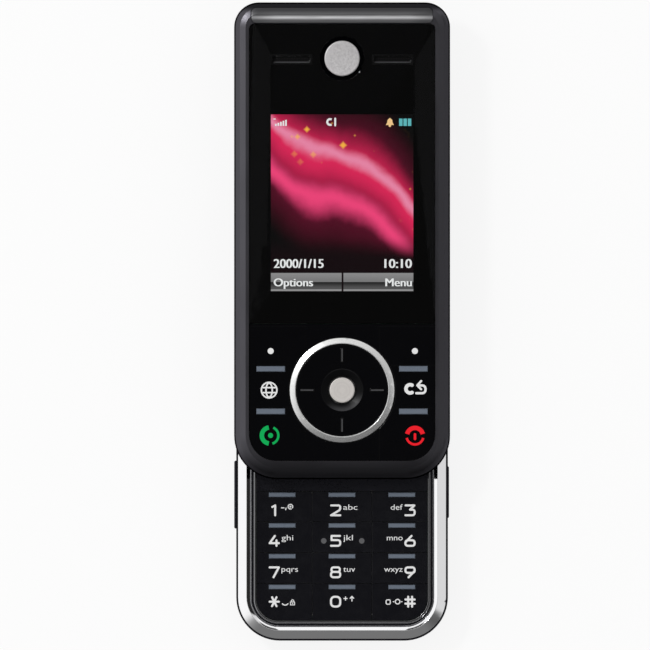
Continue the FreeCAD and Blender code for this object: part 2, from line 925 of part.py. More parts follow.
def slide_guides():
    """Four plastic shoes on the carriage's wings that run in the C rails."""
    outer = rail_half_width - rail_wall - guide_clearance
    low = channel_low + guide_clearance
    high = channel_high - guide_clearance
    shoes = []
    for y in (carriage_low_y, carriage_high_y - guide_length):
        shoe = box(outer - guide_width, outer, y, y + guide_length, low, high)
        slot = box(outer - guide_width - 1, flange_half, y - 1, y + guide_length + 1,
                   carriage_plate_low, carriage_plate_low + carriage_sheet)
        shoes.extend(both_sides(shoe.cut(slot)))
    return shoes


def spring(z):
    """Flat spring of square wire: runs across the phone joined by hairpin bends."""
    step = spring_span / spring_turns
    y = carriage_high_y + spring_above_carriage - spring_span
    left = flex_width / 2 + spring_from_flex
    right = flange_half - spring_from_wing
    half = spring_wire / 2
    points = [V(left, y, z)]
    for index in range(spring_turns):
        end = right if index % 2 == 0 else left
        bulge = end + (spring_clip if index % 2 == 0 else -spring_clip)
        points += [V(end, y, z), V(bulge, y + spring_clip, z), V(bulge, y + step - spring_clip, z)]
        y += step
        points.append(V(end, y, z))
    points.append(V(left + right - points[-1].x, y, z))
    start = points[0]
    section = [start + V(0, -half, -half), start + V(0, half, -half), start + V(0, half, half),
               start + V(0, -half, half)]
    mitred = 1
    profile = Part.makePolygon(section + [section[0]])
    return Part.makePolygon(points).makePipeShell([profile], True, True, mitred)


def slide_springs():
    """Two wire springs between the carriage and the rail sheet."""
    return both_sides(spring((carriage_plate_low + carriage_sheet + channel_high) / 2))


def flex_cable():
    """Ribbon cable folded once between the two halves."""
    low = key_high + carriage_sheet + seam + flex_thickness
    high = channel_high - seam - flex_thickness
    radius = (high - low) / 2
    base_y = flex_base_y()
    end_y = flex_slider_y()
    fold_y = carriage_low_y + radius + flex_fold_margin
    bend = flex_bend
    short = bend * (1 - math.sqrt(0.5))
    first = Part.LineSegment(V(0, base_y, board_high), V(0, base_y, low - bend)).toShape()
    corner = Part.Arc(V(0, base_y, low - bend), V(0, base_y - short, low - short),
                      V(0, base_y - bend, low)).toShape()
    run = Part.LineSegment(V(0, base_y - bend, low), V(0, fold_y, low)).toShape()
    fold = Part.Arc(V(0, fold_y, low), V(0, fold_y - radius, low + radius), V(0, fold_y, high)).toShape()
    back = Part.LineSegment(V(0, fold_y, high), V(0, end_y - bend, high)).toShape()
    rise = Part.Arc(V(0, end_y - bend, high), V(0, end_y - short, high + short),
                    V(0, end_y, high + bend)).toShape()
    last = Part.LineSegment(V(0, end_y, high + bend), V(0, end_y, slider_board_low)).toShape()
    path = Part.Wire([first, corner, run, fold, back, rise, last])
    half = flex_width / 2
    thick = flex_thickness / 2
    corners = [V(-half, base_y - thick, board_high), V(half, base_y - thick, board_high),
               V(half, base_y + thick, board_high), V(-half, base_y + thick, board_high)]
    section = Part.makePolygon(corners + [corners[0]])
    return Part.Solid(path.makePipeShell([section], True, True).Shells[0])


# ------------------------------------------------------------ slider
def slider_outline(inset, z):
    """Wire of the slider's outline, drawn in by an inset."""
    return outline(slider_half - inset, slider_bottom + inset, slider_top - inset, bottom_corner - inset,
                   top_corner - inset, z)


def slider_prism(inset, z_low, z_high):
    """Upright body on the slider's outline, drawn in by an inset."""
    return Part.Face(slider_outline(inset, z_low)).extrude(V(0, 0, z_high - z_low))


def slider_body():
    """Upper body of the slider, rolled over at the front, before anything is let into it."""
    shoulder = bezel_high - rail_round
    brow = rolled(slider_outline, shoulder, bezel_high, rail_steps)
    return fused(slider_prism(0, bezel_low, shoulder), brow)


def slider_bezel():
    """Satin frame of the slider, with rounded rails round the lens and keys."""
    cavity = slider_prism(slider_wall, bezel_low - 1, ledge_low)
    lens_pocket = plate(panel_half, panel_split, panel_top + fit_gap, mask_low, bezel_high + 1, 0.0,
                        panel_corner_high)
    lens_window = plate(panel_half - ledge_width, panel_split, panel_top - ledge_width, ledge_low - 1,
                        bezel_high, 0.0)
    key_opening = plate(panel_half, panel_bottom, panel_split, ledge_low - 1, bezel_high + 1,
                        panel_corner_low, 0.0)
    frame = slider_body().cut([cavity, lens_pocket, lens_window, key_opening, trim_pocket(0.0)])
    for x, y in slider_screw_places():
        boss = block(x, y, bezel_low, ledge_low, boss_half)
        frame = fused(frame, boss).cut(peg(x, y, bezel_low - 1, bezel_low + slider_screw_length + screw_gap,
                                           screw_radius + screw_gap))
    return frame


def trim_pocket(gap):
    """Room of the bright bar above the lens."""
    high = slider_top - trim_edge
    return plate(trim_width / 2 - gap, high - trim_length + gap, high - gap, mask_low, bezel_high + 1,
                 trim_round, trim_round)


def top_trim():
    """Bright bar above the lens, rounded over towards the end of the phone."""
    return trim_pocket(fit_gap).common(slider_body())


def slider_rear_cover():
    """Back of the slider, open where the rails run."""
    ease = rear_cover_height / 2
    cover = fused(taper(slider_outline(ease, slider_low), slider_outline(0, slider_low + ease)),
                  slider_prism(0, slider_low + ease, bezel_low))
    recess = box(-rail_half_width - fit_gap, rail_half_width + fit_gap, rail_bottom_y - fit_gap,
                 rail_top_y + fit_gap, slider_low - 1, bezel_low + 1)
    cover = cover.cut(recess)
    for x, y in slider_screw_places():
        cover = cover.cut(peg(x, y, slider_low - 1, slider_low + screw_head_height + screw_gap,
                              screw_head_radius + screw_gap))
        cover = cover.cut(peg(x, y, slider_low, bezel_low + 1, screw_radius + screw_gap))
    return cover


def slider_screw_places():
    """Middles of the slider's four screws."""
    aside = slider_half - slider_screw_aside
    low = slider_bottom + slider_screw_above_end
    high = slider_top - slider_screw_below_top
    return [(-aside, low), (aside, low), (-aside, high), (aside, high)]


def slider_screws():
    """Screws through the slider's back cover."""
    screws = []
    for x, y in slider_screw_places():
        head = peg(x, y, slider_low, slider_low + screw_head_height, screw_head_radius)
        shank = peg(x, y, slider_low + screw_head_height, bezel_low + slider_screw_length, screw_radius)
        screws.append(fused(head, shank))
    return screws


def lens_outline(z_low, z_high):
    """Plate that fits the lens pocket."""
    return plate(panel_half - fit_gap, panel_split + key_gap / 2, panel_top, z_low, z_high, 0.0,
                 panel_corner_high)


def earpiece_slots(z_low, z_high):
    """Two slots either side of the badge."""
    slots = []
    for sign in (-1, 1):
        slots.append(clipped(sign * slot_spread / 2, badge_y - slot_drop, slot_length / 2, slot_width / 2,
                             slot_clip, z_low, z_high))
    return slots


def mesh_strips(grow):
    """Two strips under the slots, or with growth the room that they lie in."""
    half = slot_length / 2 + mesh_margin + grow
    side = slot_width / 2 + mesh_margin + grow
    y = badge_y - slot_drop
    strips = []
    for sign in (-1, 1):
        x = sign * slot_spread / 2
        strips.append(box(x - half, x + half, y - side, y + side, mask_low, lens_low))
    return strips


def display_lens():
    """Clear front window, pierced for the badge and the earpiece."""
    lens = lens_outline(lens_low, lens_high)
    cuts = [rod(0, badge_y, lens_low - 1, lens_high + 1, badge_radius + badge_recess)]
    cuts += earpiece_slots(lens_low - 1, lens_high + 1)
    return lens.cut(cuts)


def display_mask():
    """Black printed sheet behind the lens, open over the screen."""
    mask = lens_outline(mask_low, lens_low)
    window = box(-screen_half, screen_half, screen_bottom, screen_top, mask_low - 1, lens_low + 1)
    return mask.cut([window] + mesh_strips(fit_gap))


def badge_disc():
    """Plain round badge."""
    return rod(0, badge_y, lens_low, lens_high + badge_proud, badge_radius)


def lcd_panel():
    """Screen module; its lower margin holds the driver."""
    return plate(screen_half + lcd_side, screen_bottom - lcd_foot, screen_top + lcd_head, lcd_low, lcd_high)


def earpiece_speaker():
    """Receiver behind the badge."""
    return box(-receiver_half, receiver_half, badge_y - receiver_width / 2, badge_y + receiver_width / 2,
               slider_board_low, mask_low - mask_gap)


def slider_board():
    """Upper circuit board, which ends below the receiver."""
    inset = slider_wall + board_gap
    board = plate(slider_half - inset, slider_bottom + inset, badge_y - receiver_width / 2 - receiver_gap,
                  slider_board_low, slider_board_high, bottom_corner - inset, 0.0)
    for x, y in slider_screw_places():
        board = board.cut(block(x, y, slider_board_low - 1, slider_board_high + 1, boss_half + board_gap))
    return board


def function_places():
    """Places of the six function keys' stems."""
    x = (function_inner + key_edge_half) / 2 + function_mark_shift
    rows = []
    for row in range(3):
        rows.append((row_top(row) + row_top(row + 1)) / 2)
    return x, rows


def stem(x, y, z_low, z_high, grow):
    """Square stem of a key, or with growth the hole it passes through."""
    return block(x, y, z_low, z_high, stem_half + grow)


def row_top(row):
    """Upper edge of a row of function keys, the soft keys' row first."""
    top = panel_split - soft_row_top
    if row == 0:
        return top
    return top - soft_row - (row - 1) * function_row


def slider_domes():
    """Metal domes under the function keys and the navigation disc."""
    x, rows = function_places()
    half = panel_half - slider_wall
    sheet = box(-half, half, panel_bottom + slider_wall, row_top(0), slider_board_high,
                slider_board_high + slider_dome_height / 2)
    places = [(0, nav_y)]
    for y in rows:
        places += [(-x, y), (x, y)]
    for angle in range(4):
        reach = turned(actuator_reach - dome_half, angle * 90)
        places.append((reach.x, nav_y + reach.y))
    domes = []
    for px, py in places:
        domes.append(dome(px, py, slider_board_high + slider_dome_height / 2, slider_dome_high))
    return fused(sheet, *domes)


def nav_panel():
    """Carrier of the navigation keys with the two black islands between them."""
    wall_gap = slider_wall + seam
    body = plate(slider_half - wall_gap, slider_bottom + wall_gap, panel_split - seam,
                 plate_high - panel_plate, plate_high, bottom_corner - wall_gap, 0.0)
    island_half = function_inner - key_gap / 2
    island = plate(island_half, panel_bottom + key_gap, panel_split - key_gap / 2, plate_high, lens_high, 0.0)
    brow = plate(key_edge_half, row_top(0), panel_split - key_gap / 2, plate_high, lens_high, 0.0)
    body = fused(body, island, brow)
    body = body.cut(rod(0, nav_y, plate_high, lens_high + 1, ring_outer + seam / 2))
    body = body.cut(block(0, nav_y, plate_high - panel_plate - 1, lens_high + 1, actuator_reach + seam))
    x, rows = function_places()
    for y in rows:
        for sign in (-1, 1):
            body = body.cut(stem(sign * x, y, plate_high - 5, plate_high + 1, stem_gap))
    for px, py in slider_screw_places():
        body = body.cut(block(px, py, plate_high - 5, plate_high, boss_half + board_gap))
    return body


def nav_ring():
    """Bright ring round the navigation disc, its face falling outwards."""
    high = lens_high + ring_proud
    return lathe(0, nav_y, [(ring_inner, plate_high), (ring_outer, plate_high),
                            (ring_outer, high - ring_fall), (ring_inner, high)])


def nav_actuator():
    """Cross under the disc that presses the four direction domes."""
    high = plate_high - actuator_gap
    low = high - actuator_thickness
    reach = actuator_reach
    arm = actuator_arm_half
    cross = fused(box(-reach, reach, nav_y - arm, nav_y + arm, low, high),
                  box(-arm, arm, nav_y - reach, nav_y + reach, low, high))
    return cross.cut(block(0, nav_y, low - 1, high + 1, actuator_bore_half))


def nav_disc():
    """Direction disc with a dished middle and four raised ticks."""
    radius = ring_inner - disc_gap
    low = plate_high + disc_tilt_gap
    bore = select_radius + dish_hub_gap
    disc = lathe(0, nav_y, [(bore, low), (radius, low), (radius, lens_high), (dish_radius, lens_high),
                            (bore, lens_high - dish_depth)])
    hub = block(0, nav_y, plate_high, low, hub_half).cut(rod(0, nav_y, plate_high - 1, low + 1, bore))
    ticks = []
    for index in range(4):
        tick = box(tick_inner, tick_inner + tick_length, -tick_width / 2, tick_width / 2, lens_high,
                   lens_high + tick_depth)
        tick.translate(V(0, nav_y, 0))
        tick.rotate(V(0, nav_y, 0), V(0, 0, 1), index * 90)
        ticks.append(tick)
    return fused(disc, hub, *ticks)


def select_button():
    """Bright button in the middle of the disc, on a stem."""
    low = plate_high + key_travel + key_rest_gap
    cap = rod(0, nav_y, low, lens_high + select_proud, select_radius)
    return fused(cap, stem(0, nav_y, slider_dome_high + key_travel + key_rest_gap, low, 0.0))


def function_key(sign, row):
    """Flat key beside the navigation disc, with a bar near the edge of the lower two."""
    top_y = row_top(row)
    low_y = panel_bottom if row == 2 else row_top(row + 1)
    gap = key_gap / 2
    body = box(function_inner + gap, key_edge_half, low_y + gap, top_y - gap, function_low, lens_high)
    within = plate(key_edge_half, panel_bottom + key_gap, panel_split, function_low - 1, lens_high + 1,
                   panel_corner_low - key_gap, 0.0)
    body = body.common(within).cut(rod(0, nav_y, function_low - 1, lens_high + 1, ring_outer + key_gap))
    x, rows = function_places()
    body = fused(body, stem(x, rows[row], slider_dome_high + key_travel + key_rest_gap, function_low, 0.0))
    if row > 0:
        bar_y = top_y - ridge_below_key_top
        body = fused(body, ridge(x, bar_y, lens_high, function_bar_length, function_bar_width))
    return body if sign > 0 else mirrored(body)


# ------------------------------------------------------------ write the pieces
def main():
    os.makedirs("parts", exist_ok=True)
    save("rear_housing", rear_housing())
    save("front_housing", front_housing())
    save("chrome_bezel", chrome_bezel())
    save("keypad_trim", keypad_trim())
    save("main_board", main_board())
    save("keypad_domes", key_domes())
    save("keypad_mat", keypad_mat())
    save("shield_can", shield_can())
    save("battery", battery())
    save("battery_cover", battery_cover())
    save("sim_holder", sim_holder())
    save("camera_module", camera_module())
    save("camera_window", rod(camera_aside, camera_y, window_inset, window_inset + window_thickness,
                              camera_radius))
    save("loudspeaker", loudspeaker())
    save("vibration_motor", vibration_motor())
    save("microphone", microphone())
    save("side_switches", *side_switches())
    save("housing_screws", *housing_screws())
    save("volume_rocker", side_key(-1, rocker_y, rocker_length, rocker_proud))
    save("camera_key", side_key(1, shutter_y, shutter_length, shutter_proud))
    save("slide_carriage", slide_carriage())
    save("slide_guides", *slide_guides())
    save("slide_springs", *slide_springs())
    save("flex_cable", flex_cable())
    names = ["1", "2", "3", "4", "5", "6", "7", "8", "9", "star", "0", "hash"]
    for index, name in enumerate(names):
        save("key_" + name, number_key(index % 3, index // 3))
    save("rail_plate", rail_plate())
    save("slider_bezel", slider_bezel())
    save("slider_rear_cover", slider_rear_cover())
    save("slider_screws", *slider_screws())
    save("slider_board", slider_board())
    save("slider_domes", slider_domes())
    save("top_trim", top_trim())
    save("display_lens", display_lens())
    save("display_mask", display_mask())
    save("lcd_panel", lcd_panel())
    save("earpiece_speaker", earpiece_speaker())
    save("earpiece_mesh", *mesh_strips(0.0))
    save("badge_disc", badge_disc())
    save("nav_panel", nav_panel())
    save("nav_ring", nav_ring())
    save("nav_actuator", nav_actuator())
    save("nav_disc", nav_disc())
    save("select_button", select_button())
    for row, (left, right) in enumerate((("soft_key_left", "soft_key_right"), ("web_key", "clear_key"),
                                         ("send_key", "end_key"))):
        save(left, function_key(-1, row))
        save(right, function_key(1, row))


main()
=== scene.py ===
"""Looks of the slider phone: finishes, legends, lit display and a plain studio.

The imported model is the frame. Places are in millimetres in the frame's axes and become
metres when a mesh is made.
"""
import math

import bpy
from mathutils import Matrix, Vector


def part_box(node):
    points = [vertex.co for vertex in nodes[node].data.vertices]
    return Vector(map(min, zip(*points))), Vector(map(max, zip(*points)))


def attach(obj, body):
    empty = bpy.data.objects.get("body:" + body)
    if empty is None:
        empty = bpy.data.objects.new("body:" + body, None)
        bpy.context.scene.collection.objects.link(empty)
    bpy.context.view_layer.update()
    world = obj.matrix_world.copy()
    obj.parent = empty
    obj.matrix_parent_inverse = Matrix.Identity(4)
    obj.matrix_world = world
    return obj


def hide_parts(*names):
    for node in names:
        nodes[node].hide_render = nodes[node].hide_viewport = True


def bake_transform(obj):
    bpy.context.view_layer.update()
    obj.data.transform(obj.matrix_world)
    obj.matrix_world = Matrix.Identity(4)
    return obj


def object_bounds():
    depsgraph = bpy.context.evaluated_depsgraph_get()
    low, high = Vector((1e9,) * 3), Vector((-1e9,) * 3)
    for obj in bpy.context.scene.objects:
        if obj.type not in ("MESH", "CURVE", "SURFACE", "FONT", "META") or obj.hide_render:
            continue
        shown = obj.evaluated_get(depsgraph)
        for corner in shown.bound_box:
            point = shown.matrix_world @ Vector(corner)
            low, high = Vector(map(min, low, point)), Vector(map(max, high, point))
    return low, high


MM = 0.001

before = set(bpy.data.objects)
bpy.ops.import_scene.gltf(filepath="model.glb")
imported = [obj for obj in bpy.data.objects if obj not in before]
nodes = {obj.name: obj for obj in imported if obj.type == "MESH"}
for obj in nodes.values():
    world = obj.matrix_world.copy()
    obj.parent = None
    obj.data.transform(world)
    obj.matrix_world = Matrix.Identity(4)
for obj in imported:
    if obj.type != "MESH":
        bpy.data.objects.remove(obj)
cad_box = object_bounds()
scene = bpy.context.scene
scene.view_settings.view_transform = "Standard"

# ------------------------------------------------------------ places and sizes, millimetres
# The photograph's view.
FRAME_WIDTH = 141.44
VIEW_CENTRE = (-3.72, -0.73)
CAMERA_DISTANCE = 6000.0
SENSOR = 36.0

# Print over its surface, one layer of the display over the last, one stroke over the last.
PRINT_LIFT = 0.012
PRINT_STEP = 0.004
STROKE_STEP = 0.003
# A stroke starts anew where the cosine of its turn is below this.
SHARP_TURN = 0.75
CAP_STEPS = 10
DISC_STEPS = 36
# Degrees of each step of a ring.
RING_STEP = 7
# Capitals of the built-in face at size one.
FACE_CAPITAL = 0.7
FACE_RESOLUTION = 4
WORD_BOLD = 0.16

# Numerals and letters of the keys, places by column or row.
DIGIT_WIDTH = 2.45
DIGIT_HEIGHT = 2.59
DIGIT_STROKE = 0.44
DIGIT_BELOW_KEY_TOP = (4.15, 4.1, 4.25, 3.95)
DIGIT_LEFT = (-16.0, -2.63, 13.58)
LETTER_START = (-13.2, 0.25)
LETTER_END = 13.2
LETTER_RISE = 0.12
LETTER_HEIGHT = 1.2
KEYS = ["1", "2", "3", "4", "5", "6", "7", "8", "9", "star", "0", "hash"]
LETTERS = {"2": ("abc", 3.1), "3": ("def", 2.6), "4": ("ghi", 2.55), "5": ("jkl", 2.1), "6": ("mno", 3.45),
           "7": ("pqrs", 3.6), "8": ("tuv", 2.6), "9": ("wxyz", 4.05)}
GUIDE_DOTS = (-3.99, 4.28)
GUIDE_DOT_RADIUS = 0.6
KEY_BAR_HEIGHT = 0.3

# Signs on the keys round the disc.
SOFT_DOTS = (-15.54, 15.84)
SOFT_DOT_RADIUS = 0.66
SOFT_DOT_Y = -6.4
GLOBE = (-15.88, -14.9)
GLOBE_RADIUS = 1.85
GLOBE_STROKE = 0.33
# Shares of the globe's reach: half width of the oval, height of the parallels.
GLOBE_OVAL = 0.45
GLOBE_RISE = 0.36
RETURN = (16.05, -14.62)
CALL = (-15.72, -24.77)
HANG_UP = (15.86, -24.87)
CALL_RADIUS = 2.15
CALL_STROKE = 0.6
# Strokes of the thick and the thin arc, and how far the thick one is drawn in.
CALL_THICK = 0.96
CALL_THIN = 0.51
CALL_INSET = 0.1

# Disc: dish, and grey lines from the rim inwards, painted as the highlight of its grooves.
DISH_RADIUS = 4.7
MARK_REACH = 0.95
MARK_LENGTH = 2.55
MARK_WIDTH = 0.26

# Picture on the display's panel, and its grey bars.
SCREEN_HALF = 15.5
SCREEN_BELOW = 5.0
SCREEN_ABOVE = 1.8
BAR_HEIGHT = 4.0
BAR_GAP = (-0.1, 0.3)
BAR_FOOT = 0.05
STATUS_BELOW_TOP = 2.5

# Earpiece slots.
BACKING_LAP = 0.4
MESH_LAP = 0.25
SLOT_INNER = 6.6
LIP_WIDTH = 0.36

# Back: camera rings (radius, width), lens, and the screws.
CAMERA_RING = (2.75, 0.3)
CAMERA_STEP = (1.95, 0.22)
EYE_RADIUS = 1.5
EYE_BULGE = 0.09
EYE_STEPS = 40
SCREW_HEAD = 1.25
SCREW_EDGE = 0.06
SCREW_CHAMFER = 0.25
SCREW_CHAMFER_DEPTH = 0.12
SCREW_HEAD_DEPTH = 0.5
SCREW_SHANK = 0.55
SCREW_SINK = 0.05
SCREW_STEPS = 32
CROSS_REACH = 0.6
CROSS_WIDTH = 0.26

# Charging socket, from the lowest corner of the board.
SOCKET_HEIGHT = 1.95
SOCKET_REACH = 6.0

# Faces by the part of their normal along Z: flat, the dish's slope, walls below the last.
DISH_NORMAL = 0.2
WALL_NORMAL = 0.6
BAR_MARGIN = 0.01

# Eased edges.
EDGE_WIDTH = {
    "slider_bezel": 0.35, "top_trim": 0.3, "slider_rear_cover": 0.3, "battery_cover": 0.45,
    "rear_housing": 0.4, "front_housing": 0.12, "chrome_bezel": 0.1, "keypad_trim": 0.1, "nav_ring": 0.25,
    "badge_disc": 0.28, "select_button": 0.22, "nav_disc": 0.1, "display_lens": 0.06, "nav_panel": 0.06,
    "volume_rocker": 0.12, "camera_key": 0.1,
}
KEY_EDGE = 0.05
INNER_EDGE = 0.04
WELD_REACH = 0.001
# Degrees: faces joined into one, and edges rounded.
FLAT_ANGLE = 0.5
EDGE_ANGLE = 14
EDGE_SEGMENTS = 3

BLACK = (0.0, 0.0, 0.0, 1.0)
WHITE = (1.0, 1.0, 1.0, 1.0)


def span(node):
    """Lowest and highest corner of a node, in millimetres."""
    low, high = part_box(node)
    return low / MM, high / MM


def disc_centre(node):
    """Middle of a round node, seen from the front."""
    low, high = span(node)
    return (low.x + high.x) / 2, (low.y + high.y) / 2


# ------------------------------------------------------------ shader helpers
class Shader:
    """Thin wrapper that adds nodes to one material or world."""

    def __init__(self, tree):
        self.tree = tree
        self.tree.nodes.clear()

    def add(self, kind, inputs=None, **settings):
        node = self.tree.nodes.new("ShaderNode" + kind)
        for key, value in settings.items():
            setattr(node, key, value)
        for key, value in (inputs or {}).items():
            socket = node.inputs[key]
            if isinstance(value, bpy.types.NodeSocket):
                self.tree.links.new(value, socket)
            else:
                socket.default_value = value
        return node

    def math(self, operation, first, second=0.0):
        return self.add("Math", {0: first, 1: second}, operation=operation).outputs[0]

    def vector(self, operation, first, second=(0.0, 0.0, 0.0)):
        return self.add("VectorMath", {0: first, 1: second}, operation=operation)

    def ramp(self, value, low, high, start=0.0, end=1.0):
        """Value eased from start to end as it goes from low to high."""
        node = self.add("MapRange", {"Value": value, "From Min": low, "From Max": high, "To Min": start,
                                     "To Max": end}, interpolation_type="SMOOTHSTEP")
        return node.outputs["Result"]

    def blend(self, factor, first, second):
        """Mix of two colours."""
        node = self.add("Mix", {0: factor, 6: first, 7: second}, data_type="RGBA")
        return node.outputs[2]

    def place(self):
        """Object coordinates, metres in the frame's axes."""
        return self.add("TexCoord").outputs["Object"]

    def noise(self, vector, grain, detail=2.0):
        """Noise with a grain in millimetres."""
        inputs = {"Vector": vector, "Scale": 1.0 / (grain * MM), "Detail": detail}
        return self.add("TexNoise", inputs).outputs["Fac"]

    def stretched(self, vector, scale):
        return self.vector("MULTIPLY", vector, scale).outputs[0]

    def shared(self, first, share, second):
        """Sum of two values, the first with its share and the second with the rest."""
        return self.math("ADD", self.math("MULTIPLY", first, share),
                         self.math("MULTIPLY", second, 1.0 - share))

    def from_axis(self, centre):
        """Vector from an upright axis through a centre in millimetres, and its length in metres."""
        offset = self.vector("SUBTRACT", self.place(), (centre[0] * MM, centre[1] * MM, 0.0)).outputs[0]
        flat = self.stretched(offset, (1.0, 1.0, 0.0))
        return flat, self.vector("LENGTH", flat).outputs["Value"]

    def relief(self, height, depth):
        """Normal bent by a height, its full depth in millimetres."""
        return self.add("Bump", {"Height": height, "Strength": 1.0, "Distance": depth * MM}).outputs[0]

    def output(self, shader, kind="OutputMaterial"):
        node = self.add(kind)
        self.tree.links.new(shader, node.inputs["Surface"])

    def surface(self, inputs):
        self.output(self.add("BsdfPrincipled", inputs).outputs[0])

    def lit_surface(self, colour):
        """Surface that sends its colour out and reflects nothing."""
        self.surface({"Base Color": BLACK, "Specular IOR Level": 0.0, "Emission Color": colour,
                      "Emission Strength": 1.0})


def new_material(name):
    material = bpy.data.materials.new(name)
    material.use_nodes = True
    return material, Shader(material.node_tree)


def shades(colour, tint):
    """Darker and lighter neighbour of a colour."""
    dark = tuple(channel * (1.0 - tint) for channel in colour) + (1.0,)
    light = tuple(min(1.0, channel * (1.0 + tint)) for channel in colour) + (1.0,)
    return dark, light


# The middle part of a noise's values, which holds most of them.
NOISE_LOW, NOISE_HIGH = 0.3, 0.7
BROAD_GRAIN = 14.0


def finish(name, colour, roughness, metallic=0.0, grain=0.2, depth=0.01, tint=0.12, worn=0.06, coat=0.0,
           stretch=(1.0, 1.0, 1.0), specular=0.5, edge=1.0, painted_shade=()):
    """Opaque finish whose colour, roughness and relief vary with a grain in millimetres.

    The edge value tints a metal's reflection at grazing angles. Each row of painted_shade is two places
    along Y, in millimetres, and the share of the colour that is left at the second: painted shade.
    """
    material, s = new_material(name)
    where = s.stretched(s.place(), stretch)
    fine = s.noise(where, grain)
    broad = s.noise(where, BROAD_GRAIN, 3.0)
    mixed = s.shared(fine, 0.6, broad)
    rough = s.ramp(mixed, NOISE_LOW, NOISE_HIGH, max(0.02, roughness - worn), roughness + worn)
    shown = s.blend(mixed, *shades(colour, tint))
    # Painted shade: the colour darkened between two places along Y.
    for start, end, share in painted_shade:
        along = s.add("SeparateXYZ", {0: s.place()}).outputs[1]
        shown = s.stretched(shown, s.ramp(along, start * MM, end * MM, 1.0, share))
    s.surface({"Base Color": shown, "Roughness": rough, "Metallic": metallic, "Coat Weight": coat,
               "Coat Roughness": 0.03, "Specular IOR Level": specular,
               "Specular Tint": (edge, edge, edge, 1.0), "Normal": s.relief(fine, depth)})
    return material


def turned_finish(name, colour, centre, roughness, metallic, pitch, depth, tint):
    """Satin metal turned on a lathe: fine rings about a centre, with a little sparkle."""
    material, s = new_material(name)
    _flat, radius = s.from_axis(centre)
    rings = s.add("TexNoise", {"W": radius, "Scale": 1.0 / (pitch * MM), "Detail": 3.0},
                  noise_dimensions="1D").outputs["Fac"]
    sparkle = s.noise(s.place(), 0.12, 1.0)
    mixed = s.shared(rings, 0.55, sparkle)
    rough = s.ramp(rings, NOISE_LOW, NOISE_HIGH, roughness - 0.06, roughness + 0.06)
    shown = s.blend(s.ramp(mixed, NOISE_LOW, NOISE_HIGH), *shades(colour, tint))
    s.surface({"Base Color": shown, "Roughness": rough, "Metallic": metallic,
               "Normal": s.relief(mixed, depth)})
    return material


def glow(name, colour):
    """Lit part of the display, very slightly uneven."""
    material, s = new_material(name)
    dimmer = tuple(channel * 0.94 for channel in colour) + (1.0,)
    s.lit_surface(s.blend(s.noise(s.place(), 0.9, 1.0), dimmer, colour + (1.0,)))
    return material


def ink(name, colour, shine=0.35, specular=0.5):
    """Printed legend, very slightly uneven."""
    return finish(name, colour, shine, grain=0.08, depth=0.002, tint=0.05, worn=0.08, specular=specular)


# ------------------------------------------------------------ finishes
def clear_lens():
    """Clear front window with the faintest ripple."""
    material, s = new_material("clear_lens")
    ripple = s.noise(s.place(), 9.0, 1.0)
    s.surface({"Base Color": (0.96, 0.96, 0.97, 1.0), "Roughness": 0.0, "IOR": 1.49,
               "Transmission Weight": 1.0, "Normal": s.relief(ripple, 0.004)})
    return material


def woven(name, colour):
    """Fine wire mesh, its pitch in millimetres."""
    material, s = new_material(name)
    where = s.place()
    pitch = 0.28
    waves = [s.add("TexWave", {"Vector": where, "Scale": 1.0 / (pitch * MM) / 6.28},
                   bands_direction=direction).outputs["Fac"] for direction in ("X", "Y")]
    weave = s.math("MULTIPLY", *waves)
    s.surface({"Base Color": s.blend(weave, BLACK, colour + (1.0,)), "Metallic": 0.8, "Roughness": 0.4,
               "Normal": s.relief(weave, 0.05)})
    return material


def dish_with_painted_glint():
    """Polished black dish with a painted highlight: a lighter crescent on its lower right side."""
    material, s = new_material("dish_black_painted_glint")
    flat, length = s.from_axis(disc_centre("nav_disc"))
    towards = (0.3, -0.954, 0.0)
    facing = s.vector("DOT_PRODUCT", s.vector("NORMALIZE", flat).outputs[0], towards).outputs["Value"]
    radius = s.math("DIVIDE", length, MM)
    # Painted highlight: the dish's lower right side lighter in colour.
    glint_crescent = s.math("MULTIPLY", s.ramp(facing, 0.35, 1.0), s.ramp(radius, 3.2, 4.4))
    haze = s.noise(s.place(), 0.5)
    lit = s.blend(haze, (0.03, 0.03, 0.032, 1.0), (0.045, 0.045, 0.048, 1.0))
    s.surface({"Base Color": s.blend(glint_crescent, (0.0012, 0.0012, 0.0016, 1.0), lit), "Roughness": 0.3,
               "Specular IOR Level": 0.1})
    return material


def trim_with_painted_highlight():
    """Brushed bar with a painted highlight along its middle and painted shade towards its edges and ends."""
    low, high = span("top_trim")
    material, s = new_material("trim_grey")
    where = s.place()
    x, y, _z = s.add("SeparateXYZ", {0: where}).outputs
    streak = s.noise(s.stretched(where, (0.02, 1.0, 1.0)), 0.1)
    middle = 0.64 * low.y + 0.36 * high.y
    reach = (high.y - low.y) / 2
    # Painted highlight: colour bright along the bar's middle, darker towards its edges and ends.
    across = s.math("ABSOLUTE", s.math("SUBTRACT", y, middle * MM))
    broad = s.ramp(across, 0.0, 1.05 * reach * MM, 0.2, 0.0)
    narrow = s.ramp(across, 0.0, 0.36 * reach * MM, 0.75, 0.0)
    ends = s.ramp(s.math("ABSOLUTE", x), 0.7 * high.x * MM, high.x * MM, 1.0, 0.5)
    bright = s.math("MULTIPLY", s.math("ADD", broad, narrow), ends)
    bright = s.math("MULTIPLY", bright, s.ramp(streak, 0.2, 0.8, 0.86, 1.0))
    s.surface({"Base Color": s.blend(bright, (0.05, 0.05, 0.053, 1.0), (0.85, 0.85, 0.87, 1.0)),
               "Metallic": 0.8, "Roughness": s.ramp(streak, NOISE_LOW, NOISE_HIGH, 0.34, 0.46),
               "Normal": s.relief(streak, 0.003)})
    return material


